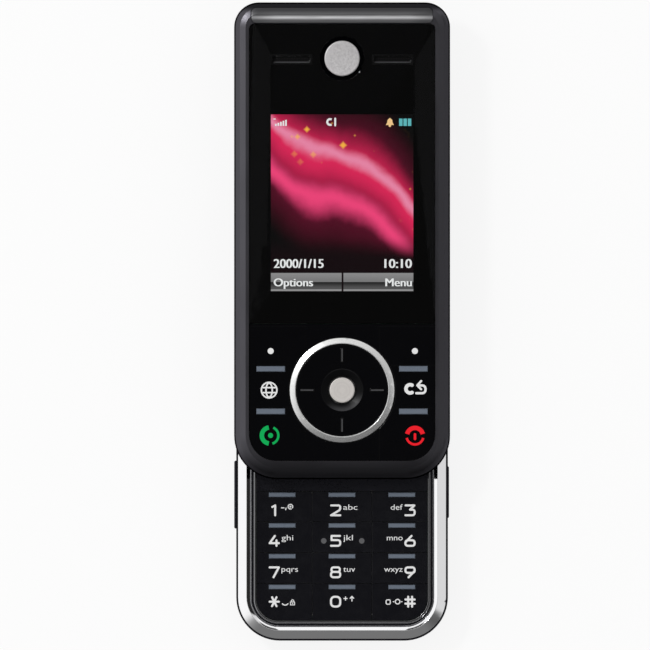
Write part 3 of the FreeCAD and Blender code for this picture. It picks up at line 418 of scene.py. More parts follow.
FINISHES = {name: finish(name, colour, roughness, **others) for name, colour, roughness, others in (
    ("black_plastic", (0.028, 0.028, 0.034), 0.3, dict(metallic=1.0, grain=0.25, depth=0.003, edge=0.1)),
    ("soft_black", (0.016, 0.016, 0.018), 0.52, dict(grain=0.18, depth=0.015)),
    # Painted shade: the bezel darkened towards its lower end and its top edge.
    ("satin_charcoal", (0.083, 0.081, 0.091), 0.33,
     dict(metallic=1.0, grain=0.09, depth=0.002, tint=0.08, edge=0.1,
          painted_shade=[(-27.0, -33.5, 0.3), (67.2, 68.6, 0.25)])),
    ("chrome", (0.93, 0.93, 0.94), 0.05, dict(metallic=1.0, grain=2.5, depth=0.002, tint=0.02, worn=0.02)),
    ("key_film", (0.0045, 0.0045, 0.0065), 0.16, dict(grain=1.6, depth=0.003, worn=0.04, specular=0.4)),
    ("key_bar", (0.125, 0.15, 0.19), 0.3, dict(grain=0.15, depth=0.004, tint=0.08)),
    ("gloss_black", (0.0012, 0.0012, 0.0018), 0.07, dict(grain=3.0, depth=0.002, worn=0.02, specular=0.3)),
    ("mask_print", (0.0012, 0.0012, 0.0016), 0.4, dict(grain=0.3, depth=0.001, specular=0.0)),
    ("lcd", (0.004, 0.004, 0.005), 0.2, dict(grain=0.4, depth=0.001, specular=0.1)),
    ("board", (0.01, 0.1, 0.04), 0.4, dict(grain=0.6, depth=0.02, tint=0.35)),
    ("domes", (0.62, 0.6, 0.56), 0.3, dict(metallic=1.0, grain=0.3, depth=0.004)),
    ("mat", (0.08, 0.08, 0.08), 0.6, dict(grain=0.3, depth=0.01)),
    ("steel", (0.5, 0.5, 0.5), 0.34, dict(metallic=1.0, grain=0.14, depth=0.004, stretch=(1.0, 0.03, 1.0))),
    ("spring_steel", (0.46, 0.46, 0.47), 0.28, dict(metallic=1.0, grain=0.2, depth=0.004)),
    ("guide", (0.62, 0.62, 0.58), 0.5, dict(grain=0.3, depth=0.006)),
    ("flex", (0.42, 0.17, 0.03), 0.35, dict(grain=0.5, depth=0.004, tint=0.25, stretch=(1.0, 0.05, 1.0))),
    ("battery", (0.045, 0.047, 0.052), 0.42, dict(grain=0.5, depth=0.008)),
    ("camera", (0.006, 0.006, 0.006), 0.4, dict(grain=0.3, depth=0.006)),
    ("camera_glass", (0.01, 0.01, 0.014), 0.05, dict(grain=4.0, depth=0.001, coat=1.0)),
    ("speaker", (0.01, 0.01, 0.01), 0.55, dict(grain=0.3, depth=0.01)),
    ("motor", (0.55, 0.52, 0.47), 0.25, dict(metallic=1.0, grain=0.3, depth=0.004)),
    ("switch", (0.02, 0.02, 0.02), 0.5, dict(grain=0.3, depth=0.006)),
    ("screw", (0.12, 0.12, 0.125), 0.3, dict(metallic=1.0, grain=0.1, depth=0.004)),
)}
FINISHES.update(trim_grey=trim_with_painted_highlight(), mesh=woven("mesh", (0.004, 0.004, 0.005)), lens=clear_lens())
LEGEND = ink("legend_white", (0.8, 0.8, 0.8))
FAINT = ink("legend_grey", (0.095, 0.095, 0.1))
# Grey ink for painted highlights: the disc's grooves and the lower lips of the earpiece slots.
HIGHLIGHT_GREY = ink("groove_highlight_grey", (0.05, 0.05, 0.053))
GREEN = ink("legend_green", (0.002, 0.4, 0.09), specular=0.1)
RED = ink("legend_red", (0.85, 0.012, 0.022), specular=0.1)


# ------------------------------------------------------------ mesh helpers
def make_piece(name, body, vertices, faces, material):
    """Mesh piece from points in millimetres, riding on a body."""
    mesh = bpy.data.meshes.new(name)
    mesh.from_pydata([(x * MM, y * MM, z * MM) for x, y, z in vertices], [], faces)
    mesh.materials.append(material)
    mesh.update()
    piece = bpy.data.objects.new(name, mesh)
    scene.collection.objects.link(piece)
    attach(piece, body)
    return piece


def arc_points(centre, radius, start, end, steps):
    """Points along an arc, angles in degrees."""
    points = []
    for index in range(steps + 1):
        angle = math.radians(start + (end - start) * index / steps)
        points.append((centre[0] + radius * math.cos(angle), centre[1] + radius * math.sin(angle)))
    return points


def heading(start, end):
    """Direction from one point to another, in radians."""
    return math.atan2(end[1] - start[1], end[0] - start[0])


def eased_path(corners, closed=False, steps=6):
    """Polyline through (x, y, radius) corners, each corner with a radius turned into an arc."""
    count = len(corners)
    path = []
    for index, (x, y, radius) in enumerate(corners):
        ends = not closed and index in (0, count - 1)
        if radius == 0 or ends:
            path.append((x, y))
            continue
        before = corners[index - 1]
        after = corners[(index + 1) % count]
        to_before = (before[0] - x, before[1] - y)
        to_after = (after[0] - x, after[1] - y)
        reach_before = math.hypot(*to_before)
        reach_after = math.hypot(*to_after)
        cosine = (to_before[0] * to_after[0] + to_before[1] * to_after[1]) / (reach_before * reach_after)
        half = math.acos(max(-1.0, min(1.0, cosine))) / 2
        cut = min(radius / math.tan(half), 0.49 * reach_before, 0.49 * reach_after)
        first = (x + to_before[0] / reach_before * cut, y + to_before[1] / reach_before * cut)
        last = (x + to_after[0] / reach_after * cut, y + to_after[1] / reach_after * cut)
        for step in range(steps + 1):
            t = step / steps
            path.append(((1 - t) ** 2 * first[0] + 2 * t * (1 - t) * x + t * t * last[0],
                         (1 - t) ** 2 * first[1] + 2 * t * (1 - t) * y + t * t * last[1]))
    return path


class Print:
    """Flat printed shapes that share one mesh, each stroke a hair above the last."""

    def __init__(self, z):
        self.z = z
        self.vertices = []
        self.faces = []

    def polygon(self, points):
        start = len(self.vertices)
        self.vertices += [(x, y, self.z) for x, y in points]
        self.faces.append(list(range(start, start + len(points))))

    def ribbon(self, path, width, closed=False, round_caps=True):
        """Stroke of even width along a path, each run between sharp corners a hair above the last."""
        if closed:
            self.run(path, width, True, False)
            return
        run = [path[0]]
        for before, here, after in zip(path, path[1:], path[2:]):
            run.append(here)
            if math.cos(heading(here, after) - heading(before, here)) < SHARP_TURN:
                self.run(run, width, False, round_caps)
                run = [here]
        run.append(path[-1])
        self.run(run, width, False, round_caps)

    def run(self, path, width, closed, round_caps):
        """Ribbon without sharp corners, its caps half discs that share its end edges."""
        count = len(path)
        pairs = []
        for index, here in enumerate(path):
            before = path[index - 1] if closed or index > 0 else here
            after = path[(index + 1) % count] if closed or index < count - 1 else here
            along = heading(before, after)
            bend = 0.0 if here in (before, after) else (heading(here, after) - heading(before, here)) / 2
            offset = width / 2 / abs(math.cos(bend))
            pairs.append(((here[0] - offset * math.sin(along), here[1] + offset * math.cos(along)),
                          (here[0] + offset * math.sin(along), here[1] - offset * math.cos(along))))
        start = len(self.vertices)
        self.vertices += [(x, y, self.z) for pair in pairs for x, y in pair]
        for index in range(count if closed else count - 1):
            near = start + 2 * index
            far = start + 2 * ((index + 1) % count)
            self.faces.append([near, near + 1, far + 1, far])
        if round_caps:
            first = math.degrees(heading(path[0], path[1]))
            last = math.degrees(heading(path[-2], path[-1]))
            self.polygon(arc_points(path[0], width / 2, first + 90, first + 270, CAP_STEPS))
            self.polygon(arc_points(path[-1], width / 2, last - 90, last + 90, CAP_STEPS))
        self.z += STROKE_STEP

    def ring(self, centre, radius, width, start=0.0, end=360.0, caps=False):
        steps = max(8, int(abs(end - start) / RING_STEP))
        closed = abs(end - start) >= 360
        points = arc_points(centre, radius, start, end, steps)
        self.ribbon(points[:-1] if closed else points, width, closed, caps)

    def disc(self, centre, radius):
        self.polygon(arc_points(centre, radius, 0, 360, DISC_STEPS)[:-1])
        self.z += STROKE_STEP

    def bar(self, x_low, x_high, y_low, y_high):
        self.polygon([(x_low, y_low), (x_high, y_low), (x_high, y_high), (x_low, y_high)])
        self.z += STROKE_STEP

    def text(self, words, x, y, height, width, align="LEFT", bold=0.0):
        """Words in the built-in face, scaled to a capital height and a total width.

        Bold words are drawn twice, that far apart.
        """
        curve = bpy.data.curves.new("words", "FONT")
        curve.body = words
        curve.size = 1.0
        curve.resolution_u = FACE_RESOLUTION
        letters = bpy.data.objects.new("words", curve)
        scene.collection.objects.link(letters)
        bpy.context.view_layer.update()
        mesh = bpy.data.meshes.new_from_object(letters.evaluated_get(bpy.context.evaluated_depsgraph_get()))
        bpy.data.objects.remove(letters)
        xs = [v.co.x for v in mesh.vertices]
        low = min(xs)
        scale_x = (width - bold) / (max(xs) - low)
        scale_y = height / FACE_CAPITAL
        shift = x if align == "LEFT" else x - width
        for aside in (0.0, bold) if bold else (0.0,):
            start = len(self.vertices)
            self.vertices += [(shift + aside + (v.co.x - low) * scale_x, y + v.co.y * scale_y, self.z)
                              for v in mesh.vertices]
            self.faces += [[start + index for index in face.vertices] for face in mesh.polygons]
            self.z += STROKE_STEP
        bpy.data.meshes.remove(mesh)

    def sign(self, strokes, x, y):
        """Strokes about a place.

        Each row is a kind, then a width and points for a line (round ends), a cut (square ends) or a loop
        (closed), a width, centre, radius and angles for a ring, a radius and centre for a disc.
        """
        for kind, width, points, *ring in strokes:
            if kind == "ring":
                self.ring((x + points[0], y + points[1]), ring[0], width, *ring[1:])
            elif kind == "disc":
                self.disc((x + points[0], y + points[1]), width)
            else:
                path = [(x + dx, y + dy) for dx, dy in points]
                self.ribbon(path, width, closed=kind == "loop", round_caps=kind == "line")

    def piece(self, name, body, material, slot):
        make_piece(name, body, self.vertices, self.faces, material)


# ------------------------------------------------------------ numerals
def loop(x_low, x_high, y_low, y_high, radius):
    """Corners of a closed rounded square."""
    return [(x, y, radius) for x, y in ((x_low, y_low), (x_high, y_low), (x_high, y_high), (x_low, y_high))]


# Strokes as corners (x, y, radius) in shares of the numeral's box, and whether they close.
NUMERALS = {
    "1": [([(0.28, 0.84, 0), (0.6, 1, 0), (0.6, 0, 0)], False)],
    "2": [([(0.02, 1, 0), (1, 1, 0.3), (1, 0.56, 0.3), (0, 0, 0), (1, 0, 0)], False)],
    "3": [([(0.02, 1, 0), (0.97, 1, 0), (0.5, 0.57, 0), (1, 0.57, 0.3), (1, 0, 0.3), (0, 0, 0)], False)],
    "4": [([(0.56, 1, 0), (0, 0.27, 0), (1, 0.27, 0)], False), ([(0.74, 0.55, 0), (0.74, 0, 0)], False)],
    "5": [([(0.97, 1, 0), (0.06, 1, 0), (0.06, 0.58, 0), (1, 0.58, 0.3), (1, 0, 0.3), (0, 0, 0)], False)],
    "6": [(loop(0, 1, 0, 0.56, 0.3), True), ([(0.66, 1, 0), (0.07, 0.42, 0)], False)],
    "7": [([(0, 1, 0), (1, 1, 0), (0.42, 0, 0)], False)],
    "8": [(loop(0.05, 0.95, 0.54, 1, 0.26), True), (loop(0, 1, 0, 0.54, 0.28), True)],
    "9": [(loop(0, 1, 0.44, 1, 0.3), True), ([(0.34, 0, 0), (0.93, 0.58, 0)], False)],
    "0": [(loop(0, 1, 0, 1, 0.42), True)],
    "star": [([(0.0, 0.5, 0), (1.0, 0.5, 0)], False), ([(0.26, 0.05, 0), (0.74, 0.95, 0)], False),
             ([(0.26, 0.95, 0), (0.74, 0.05, 0)], False)],
    "hash": [([(0.3, 0, 0), (0.3, 1, 0)], False), ([(0.72, 0, 0), (0.72, 1, 0)], False),
             ([(0, 0.3, 0), (1, 0.3, 0)], False), ([(0, 0.72, 0), (1, 0.72, 0)], False)],
}


def numeral(sheet, name, left, middle):
    """One numeral with its left edge and its middle height given."""
    width = DIGIT_WIDTH - DIGIT_STROKE
    height = DIGIT_HEIGHT - DIGIT_STROKE
    low = middle - height / 2
    left += DIGIT_STROKE / 2
    for corners, closed in NUMERALS[name]:
        sized = [(left + x * width, low + y * height, radius * height) for x, y, radius in corners]
        sheet.ribbon(eased_path(sized, closed), DIGIT_STROKE, closed)


# ------------------------------------------------------------ keypad legends
SIGN_STROKE = 0.22
LOCK_STROKE = 0.17

# Signs of the outer keys: place along X and above the numeral's middle, and the strokes about it.
KEY_SIGNS = {
    "1": (LETTER_START[0], DIGIT_HEIGHT / 2, [
        ("line", SIGN_STROKE, [(0.0, -0.75), (0.55, -0.75)]),
        ("line", SIGN_STROKE, [(1.0, -0.8), (0.9, -1.15)]),
        ("ring", SIGN_STROKE, (1.95, -0.5), 0.5, -40, 300),
        ("disc", 0.22, (1.95, -0.5))]),
    "star": (LETTER_START[0] + 0.2, 0.0, [
        ("line", SIGN_STROKE, arc_points((0.6, 0.0), 0.75, 215, 325, 8)),
        ("line", LOCK_STROKE, [(1.75, -0.7), (2.65, -0.7), (2.65, -0.05), (1.75, -0.05), (1.75, -0.7)]),
        ("ring", LOCK_STROKE, (2.2, 0.12), 0.28, 0, 180, True),
        ("disc", 0.13, (2.2, -0.38))]),
    "0": (LETTER_START[1] + 0.5, DIGIT_HEIGHT / 2, [
        ("line", SIGN_STROKE, [(-0.35, -0.6), (0.35, -0.6)]),
        ("line", SIGN_STROKE, [(0.0, -0.95), (0.0, -0.25)]),
        ("line", SIGN_STROKE, [(1.4, -1.15), (1.4, -0.2)]),
        ("line", SIGN_STROKE, [(1.02, -0.55), (1.4, -0.12), (1.78, -0.55)])]),
    "hash": (LETTER_END - 3.6, 0.0, [
        ("loop", SIGN_STROKE, eased_path(loop(0.0, 0.9, -0.55, 0.4, 0.3), True)),
        ("ring", SIGN_STROKE, (2.5, 0.0), 0.5),
        ("line", SIGN_STROKE, [(1.55, 0.0), (1.7, 0.0)]),
        ("line", SIGN_STROKE, [(3.3, 0.0), (3.45, 0.0)])]),
}


def key_legends():
    """Numerals, letters and signs on the twelve keys."""
    for index, name in enumerate(KEYS):
        row, column = divmod(index, 3)
        node = "key_" + name
        high = span(node)[1]
        face = high.z - KEY_BAR_HEIGHT + PRINT_LIFT
        middle = high.y - DIGIT_BELOW_KEY_TOP[row]
        sheet = Print(face)
        numeral(sheet, name, DIGIT_LEFT[column], middle)
        if name in LETTERS:
            words, width = LETTERS[name]
            edge, side = (LETTER_END, "RIGHT") if column == 2 else (LETTER_START[column], "LEFT")
            sheet.text(words, edge, middle + LETTER_RISE, LETTER_HEIGHT, width, side)
        if name in KEY_SIGNS:
            left, rise, strokes = KEY_SIGNS[name]
            sheet.sign(strokes, left, middle + rise)
        sheet.piece("legend_" + name, node, LEGEND, "key_film")
        if name == "5":
            dots = Print(face)
            dots.sign([("disc", GUIDE_DOT_RADIUS, (x, 0.0)) for x in GUIDE_DOTS], 0.0, middle)
            dots.piece("guide_dots", node, FAINT, "key_film")


# ------------------------------------------------------------ navigation legends
def globe_strokes():
    """Globe with two meridians and two parallels."""
    reach = GLOBE_RADIUS - GLOBE_STROKE
    turns = [math.radians(angle) for angle in range(0, 360, 12)]
    oval = [(GLOBE_OVAL * reach * math.cos(turn), reach * math.sin(turn)) for turn in turns]
    strokes = [("ring", GLOBE_STROKE, (0.0, 0.0), GLOBE_RADIUS - GLOBE_STROKE / 2),
               ("loop", GLOBE_STROKE, oval)]
    for rise in (-GLOBE_RISE, GLOBE_RISE):
        half = reach * math.sqrt(1 - rise * rise)
        strokes.append(("cut", GLOBE_STROKE, [(-half, rise * reach), (half, rise * reach)]))
    return strokes


# Open letter-like loop joined by a returning arrow.
RETURN_STROKES = [
    ("ring", 0.76, (-1.25, 0.0), 0.9, 62, 298, True),
    ("line", 0.5, eased_path([(0.1, -0.95, 0), (2.1, -0.95, 0.95), (2.1, 0.75, 0.95), (0.35, 0.75, 0)])),
    ("line", 0.45, [(1.15, 1.7), (0.3, 0.75), (1.15, -0.1)]),
]


def call_strokes(thick, thin, mark):
    """Ring split into a thick and a thin arc, each given by two angles, round a mark."""
    radius = CALL_RADIUS - CALL_STROKE / 2
    return [("ring", CALL_THICK, (0.0, 0.0), radius - CALL_INSET, *thick),
            ("ring", CALL_THIN, (0.0, 0.0), radius, *thin), mark]


def function_legends():
    """Dots, globe, return arrow and call signs round the navigation disc."""
    dot = [("disc", SOFT_DOT_RADIUS, (0.0, 0.0))]
    send = call_strokes((98, 262), (-72, 66), ("disc", 0.55, (0.15, 0.0)))
    end = call_strokes((14, 166), (194, 346), ("line", 0.55, [(0.0, -0.65), (0.0, 0.35)]))
    for name, node, ink_used, place, strokes in (
            ("soft_key_left_dot", "soft_key_left", LEGEND, (SOFT_DOTS[0], SOFT_DOT_Y), dot),
            ("soft_key_right_dot", "soft_key_right", LEGEND, (SOFT_DOTS[1], SOFT_DOT_Y), dot),
            ("globe_sign", "web_key", LEGEND, GLOBE, globe_strokes()),
            ("return_sign", "clear_key", LEGEND, RETURN, RETURN_STROKES),
            ("call_sign", "send_key", GREEN, CALL, send),
            ("hang_up_sign", "end_key", RED, HANG_UP, end)):
        lift = 0.0 if node.startswith("soft") else KEY_BAR_HEIGHT
        sheet = Print(span(node)[1].z - lift + PRINT_LIFT)
        sheet.sign(strokes, *place)
        sheet.piece(name, node, ink_used, "gloss_black")


def disc_groove_highlights():
    """Four grey lines that run inwards from the disc's rim, painted as the highlight of its grooves."""
    x, y = disc_centre("nav_disc")
    low, high = span("nav_disc")
    outer = (high.x - low.x) / 2 - MARK_REACH
    sheet = Print(high.z + PRINT_LIFT)
    for dx, dy in ((0, 1), (0, -1), (1, 0), (-1, 0)):
        ends = [(dx * reach, dy * reach) for reach in (outer, outer - MARK_LENGTH)]
        sheet.sign([("line", MARK_WIDTH, ends)], x, y)
    sheet.piece("disc_groove_highlights", "nav_disc", HIGHLIGHT_GREY, "gloss_black")


# ------------------------------------------------------------ display
# Waves of the picture: height of the middle, reach, colour.
WAVES = [
    (0.9, 0.55, (0.16, 0.004, 0.03, 1.0)),
    (0.98, 0.25, (0.75, 0.02, 0.1, 1.0)),
    (0.74, 0.12, (0.9, 0.06, 0.2, 1.0)),
    (1.02, 0.07, (0.85, 0.25, 0.4, 1.0)),
]
AMBER = (1.0, 0.5, 0.06, 1.0)
NIGHT = (0.004, 0.0, 0.001, 1.0)

# Words: place along X and above the picture's lower edge, height of capitals, width, side of the place.
WORDS = [
    ("Options", -14.9, 1.1, 1.75, 8.6, "LEFT"),
    ("Menu", 15.2, 1.1, 1.75, 5.8, "RIGHT"),
    ("2000/1/15", -14.9, 5.1, 1.95, 10.9, "LEFT"),
    ("10:10", 15.2, 5.1, 1.95, 6.0, "RIGHT"),
]
# Status row, from its own lower edge: bars of rising height, signs, a bell and three cells.
SIGNAL_BARS = [(-14.6 + 0.55 * index, -14.24 + 0.55 * index, 0.45 + 0.22 * index) for index in range(5)]
STATUS_SIGNS = [
    ("line", 0.2, [(-14.9, 1.5), (-14.5, 1.5)]),
    ("ring", 0.45, (-2.6, 0.85), 0.62, 60, 300),
    ("line", 0.4, [(-1.5, 0.1), (-1.5, 1.6)]),
]
BELL = [(9.5, 0.2), (11.3, 0.2), (11.0, 0.7), (10.9, 1.35), (10.4, 1.75), (9.9, 1.35), (9.8, 0.7)]
BELL_CLAPPER = [("disc", 0.28, (10.4, 0.05))]
CELLS = [(12.4 + 0.95 * index, 13.15 + 0.95 * index, 1.6) for index in range(3)]


def wallpaper():
    """Generic picture: crimson and pink waves over black, with amber lozenges."""
    material, s = new_material("wallpaper")
    where = s.add("TexCoord").outputs["Generated"]
    u, v, _w = s.add("SeparateXYZ", {0: where}).outputs
    drift = s.math("MULTIPLY", s.math("SINE", s.math("MULTIPLY_ADD", u, 6.0)), 0.07)
    height = s.math("ADD", s.math("ADD", v, s.math("MULTIPLY", u, 0.55)), drift)
    cloud = s.add("TexNoise", {"Vector": where, "Scale": 3.2, "Detail": 5.0}).outputs["Fac"]
    height = s.math("ADD", height, s.math("MULTIPLY", s.math("SUBTRACT", cloud, 0.5), 0.14))

    def band(centre, width):
        distance = s.math("ABSOLUTE", s.math("SUBTRACT", height, centre))
        return s.ramp(distance, 0.0, width, 1.0, 0.0)

    picture = BLACK
    for centre, width, colour in WAVES:
        picture = s.blend(band(centre, width), picture, colour)
    lozenges = s.add("TexVoronoi", {"Vector": s.stretched(where, (1.0, 1.24, 0.0)), "Scale": 8.5,
                                    "Randomness": 0.75}, distance="MANHATTAN")
    spot = s.ramp(lozenges.outputs["Distance"], 0.2, 0.42, 1.0, 0.0)
    picture = s.blend(s.math("MULTIPLY", spot, band(1.14, 0.3)), picture, AMBER)
    s.lit_surface(s.blend(s.ramp(v, 0.32, 0.18), picture, NIGHT))
    return material


def grey(level):
    """Colour of one level."""
    return level, level, level, 1.0


def soft_bar():
    """Grey bar of the display's lower edge, darker in its lower half, with a pale foot."""
    material, s = new_material("soft_bar")
    v = s.add("SeparateXYZ", {0: s.add("TexCoord").outputs["Generated"]}).outputs[1]
    upper = s.blend(s.ramp(v, 0.5, 1.0), grey(0.2), grey(0.27))
    lower = s.blend(s.ramp(v, 0.13, 0.5), grey(0.09), grey(0.015))
    shade = s.blend(s.math("GREATER_THAN", v, 0.5), lower, upper)
    s.lit_surface(s.blend(s.math("LESS_THAN", v, 0.1), shade, grey(0.3)))
    return material


def display():
    """Lit picture behind the lens with its bars, words and status row."""
    low, high = span("lcd_panel")
    z = (high.z + span("display_mask")[0].z) / 2
    foot = low.y + SCREEN_BELOW
    top = high.y - SCREEN_ABOVE
    sheet = Print(z)
    sheet.bar(-SCREEN_HALF, SCREEN_HALF, foot, top)
    sheet.piece("display_picture", "slider", wallpaper(), "lcd")
    for name, x_low, x_high in (("left", -SCREEN_HALF, BAR_GAP[0]), ("right", BAR_GAP[1], SCREEN_HALF)):
        sheet = Print(z + PRINT_STEP)
        sheet.bar(x_low, x_high, foot + BAR_FOOT, foot + BAR_HEIGHT)
        sheet.piece("display_bar_" + name, "slider", soft_bar(), "lcd")
    white, amber, teal = [Print(z + 2 * PRINT_STEP) for _ink in range(3)]
    for words, x, rise, height, width, side in WORDS:
        white.text(words, x, foot + rise, height, width, side, WORD_BOLD)
    status = top - STATUS_BELOW_TOP
    for x_low, x_high, height in SIGNAL_BARS:
        white.bar(x_low, x_high, status, status + height)
    white.sign(STATUS_SIGNS, 0.0, status)
    amber.polygon([(x, status + rise) for x, rise in BELL])
    amber.sign(BELL_CLAPPER, 0.0, status)
    for x_low, x_high, height in CELLS:
        teal.bar(x_low, x_high, status, status + height)
    for sheet, name, ink_name, colour in ((white, "display_words", "display_white", (0.86, 0.88, 0.87)),
                                          (amber, "display_bell", "display_amber", (0.95, 0.62, 0.28)),
                                          (teal, "display_cell", "display_teal", (0.12, 0.5, 0.52))):
        sheet.piece(name, "slider", glow(ink_name, colour), "lcd")


def earpiece_shade_backing():
    """Black sheet under the earpiece's mesh and its seam as painted shade, and painted highlights on the
    lower lips of its slots.
    """
    low, high = span("earpiece_mesh")
    # Painted shade: a black sheet stands in for the shade behind the mesh and in the seam.
    sheet = Print((low.z + span("earpiece_speaker")[1].z) / 2)
    sheet.bar(low.x - BACKING_LAP, high.x + BACKING_LAP, low.y - BACKING_LAP, high.y + BACKING_LAP)
    sheet.piece("earpiece_shade_backing", "slider", FINISHES["mask_print"], "mask_print")
    # Painted highlight: grey lines along the slots' lower lips.
    lip_highlights = Print(high.z + PRINT_LIFT)
    y = low.y + MESH_LAP + LIP_WIDTH / 2
    near, far = SLOT_INNER + MESH_LAP, high.x - MESH_LAP
    for x_low, x_high in ((-far, -near), (near, far)):
        lip_highlights.ribbon([(x_low + LIP_WIDTH, y), (x_high - LIP_WIDTH, y),
                     (x_high - LIP_WIDTH / 2, y + LIP_WIDTH)], LIP_WIDTH)
    lip_highlights.piece("earpiece_lip_highlights", "slider", HIGHLIGHT_GREY, "mesh")


# ------------------------------------------------------------ back
def turned_shape(profile, centre, steps):
    """Vertices and faces of (radius, z) points turned about an upright axis, closed at the ends."""
    vertices = []
    for radius, z in profile:
        for index in range(steps):
            angle = 2 * math.pi * index / steps
            vertices.append((centre[0] + radius * math.cos(angle), centre[1] + radius * math.sin(angle), z))
    faces = []
    for ring in range(len(profile) - 1):
        for index in range(steps):
            after = (index + 1) % steps
            faces.append([ring * steps + index, ring * steps + after, (ring + 1) * steps + after,
                          (ring + 1) * steps + index])
    faces.append(list(range(steps)))
    faces.append([(len(profile) - 1) * steps + index for index in range(steps)])
    return vertices, faces


def camera_eye():
    """Ring, stepped barrel and coated lens behind the camera's window."""
    centre = disc_centre("camera_window")
    face = span("camera_window")[0].z - PRINT_LIFT
    for name, ring, material in (("camera_ring", CAMERA_RING, FINISHES["steel"]),
                                 ("camera_step", CAMERA_STEP, FAINT)):
        sheet = Print(face)
        sheet.ring(centre, *ring)
        sheet.piece(name, "base", material, "camera_glass")
    turns = [math.radians(angle) for angle in range(0, 90, 10)]
    dome = [(EYE_RADIUS * math.cos(turn), face - EYE_BULGE * math.sin(turn)) for turn in turns]
    vertices, faces = turned_shape(dome, centre, EYE_STEPS)
    lens = make_piece("camera_lens", "base", vertices, faces, coated_glass())
    lens.data.shade_smooth()


def coated_glass():
    """Violet bloom of a coated lens, deeper towards its middle."""
    material, s = new_material("coated_glass")
    radius = s.math("DIVIDE", s.from_axis(disc_centre("camera_window"))[1], MM)
    bloom = s.blend(s.ramp(radius, 0.3, 1.3), (0.004, 0.003, 0.01, 1.0), (0.03, 0.02, 0.09, 1.0))
    s.surface({"Base Color": bloom, "Roughness": 0.04, "Coat Weight": 1.0, "Coat Roughness": 0.02})
    return material


def screw_heads(node, body):
    """Round chamfered screws in place of the plain ones, with black crosses painted as the shade of their
    recesses.
    """
    low, high = span(node)
    mesh = nodes[node].data
    vertices = []
    faces = []
    # Painted shade: flat black crosses stand in for the recesses.
    recess_shade = Print(0.0)
    for x in (low.x + SCREW_HEAD, high.x - SCREW_HEAD):
        for y in (low.y + SCREW_HEAD, high.y - SCREW_HEAD):
            seat = min(v.co.z / MM for v in mesh.vertices
                       if math.hypot(v.co.x / MM - x, v.co.y / MM - y) < 2 * SCREW_HEAD)
            top = seat + SCREW_SINK
            wide = SCREW_HEAD - SCREW_EDGE
            profile = [(SCREW_HEAD - SCREW_CHAMFER, top), (wide, top + SCREW_CHAMFER_DEPTH),
                       (wide, seat + SCREW_HEAD_DEPTH), (SCREW_SHANK, seat + SCREW_HEAD_DEPTH),
                       (SCREW_SHANK, high.z)]
            head, skins = turned_shape(profile, (x, y), SCREW_STEPS)
            faces += [[len(vertices) + index for index in face] for face in skins]
            vertices += head
            recess_shade.z = top - PRINT_LIFT
            for dx, dy in ((CROSS_REACH, 0.0), (0.0, CROSS_REACH)):
                recess_shade.ribbon([(x - dx, y - dy), (x + dx, y + dy)], CROSS_WIDTH, round_caps=False)
                # Outwards is down on the back.
                recess_shade.z -= 2 * STROKE_STEP
    piece = make_piece(node + "_turned", body, vertices, faces, FINISHES["screw"])
    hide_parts(node)
    recess_shade.piece(node + "_recess_shade", body, FINISHES["mask_print"], "screw")


# ------------------------------------------------------------ carried-over pieces
def soften(piece, width):
    """Round the edges of a carried-over piece without moving its corners' places."""
    weld = piece.modifiers.new("weld", "WELD")
    weld.merge_threshold = WELD_REACH * MM
    flat = piece.modifiers.new("flat", "DECIMATE")
    flat.decimate_type = "DISSOLVE"
    flat.angle_limit = math.radians(FLAT_ANGLE)
    flat.delimit = {"MATERIAL"}
    edge = piece.modifiers.new("edge", "BEVEL")
    edge.limit_method = "ANGLE"
    edge.angle_limit = math.radians(EDGE_ANGLE)
    edge.width = width * MM
    edge.segments = EDGE_SEGMENTS
    even = piece.modifiers.new("even", "WEIGHTED_NORMAL")
    even.keep_sharp = False


def paint(piece, material, chosen):
    """Second finish on the faces that a test chooses by their centre, in millimetres, and their normal."""
    piece.data.materials.append(material)
    for polygon in piece.data.polygons:
        if chosen(polygon.center / MM, polygon.normal):
            polygon.material_index = 1


def paint_bar(piece):
    """Second finish on the raised bar of a key."""
    face = span(piece.name)[1].z - KEY_BAR_HEIGHT + BAR_MARGIN
    paint(piece, FINISHES["key_bar"], lambda place, _normal: place.z > face)


def paint_dish(piece):
    """Finish of the dish round the select button, with its painted highlight."""
    x, y = disc_centre("nav_disc")
    paint(piece, dish_with_painted_glint(), lambda place, normal: normal.z > DISH_NORMAL
          and math.hypot(place.x - x, place.y - y) < DISH_RADIUS)


def paint_lens_walls(piece):
    """Black print on the walls of the lens and of its openings."""
    paint(piece, FINISHES["mask_print"], lambda _place, normal: abs(normal.z) < WALL_NORMAL)


def paint_socket(piece):
    """Steel on the charging socket that hangs under the board at the left side."""
    low = span(piece.name)[0]
    paint(piece, FINISHES["steel"],
          lambda place, _normal: place.z < low.z + SOCKET_HEIGHT and place.x < low.x + SOCKET_REACH)


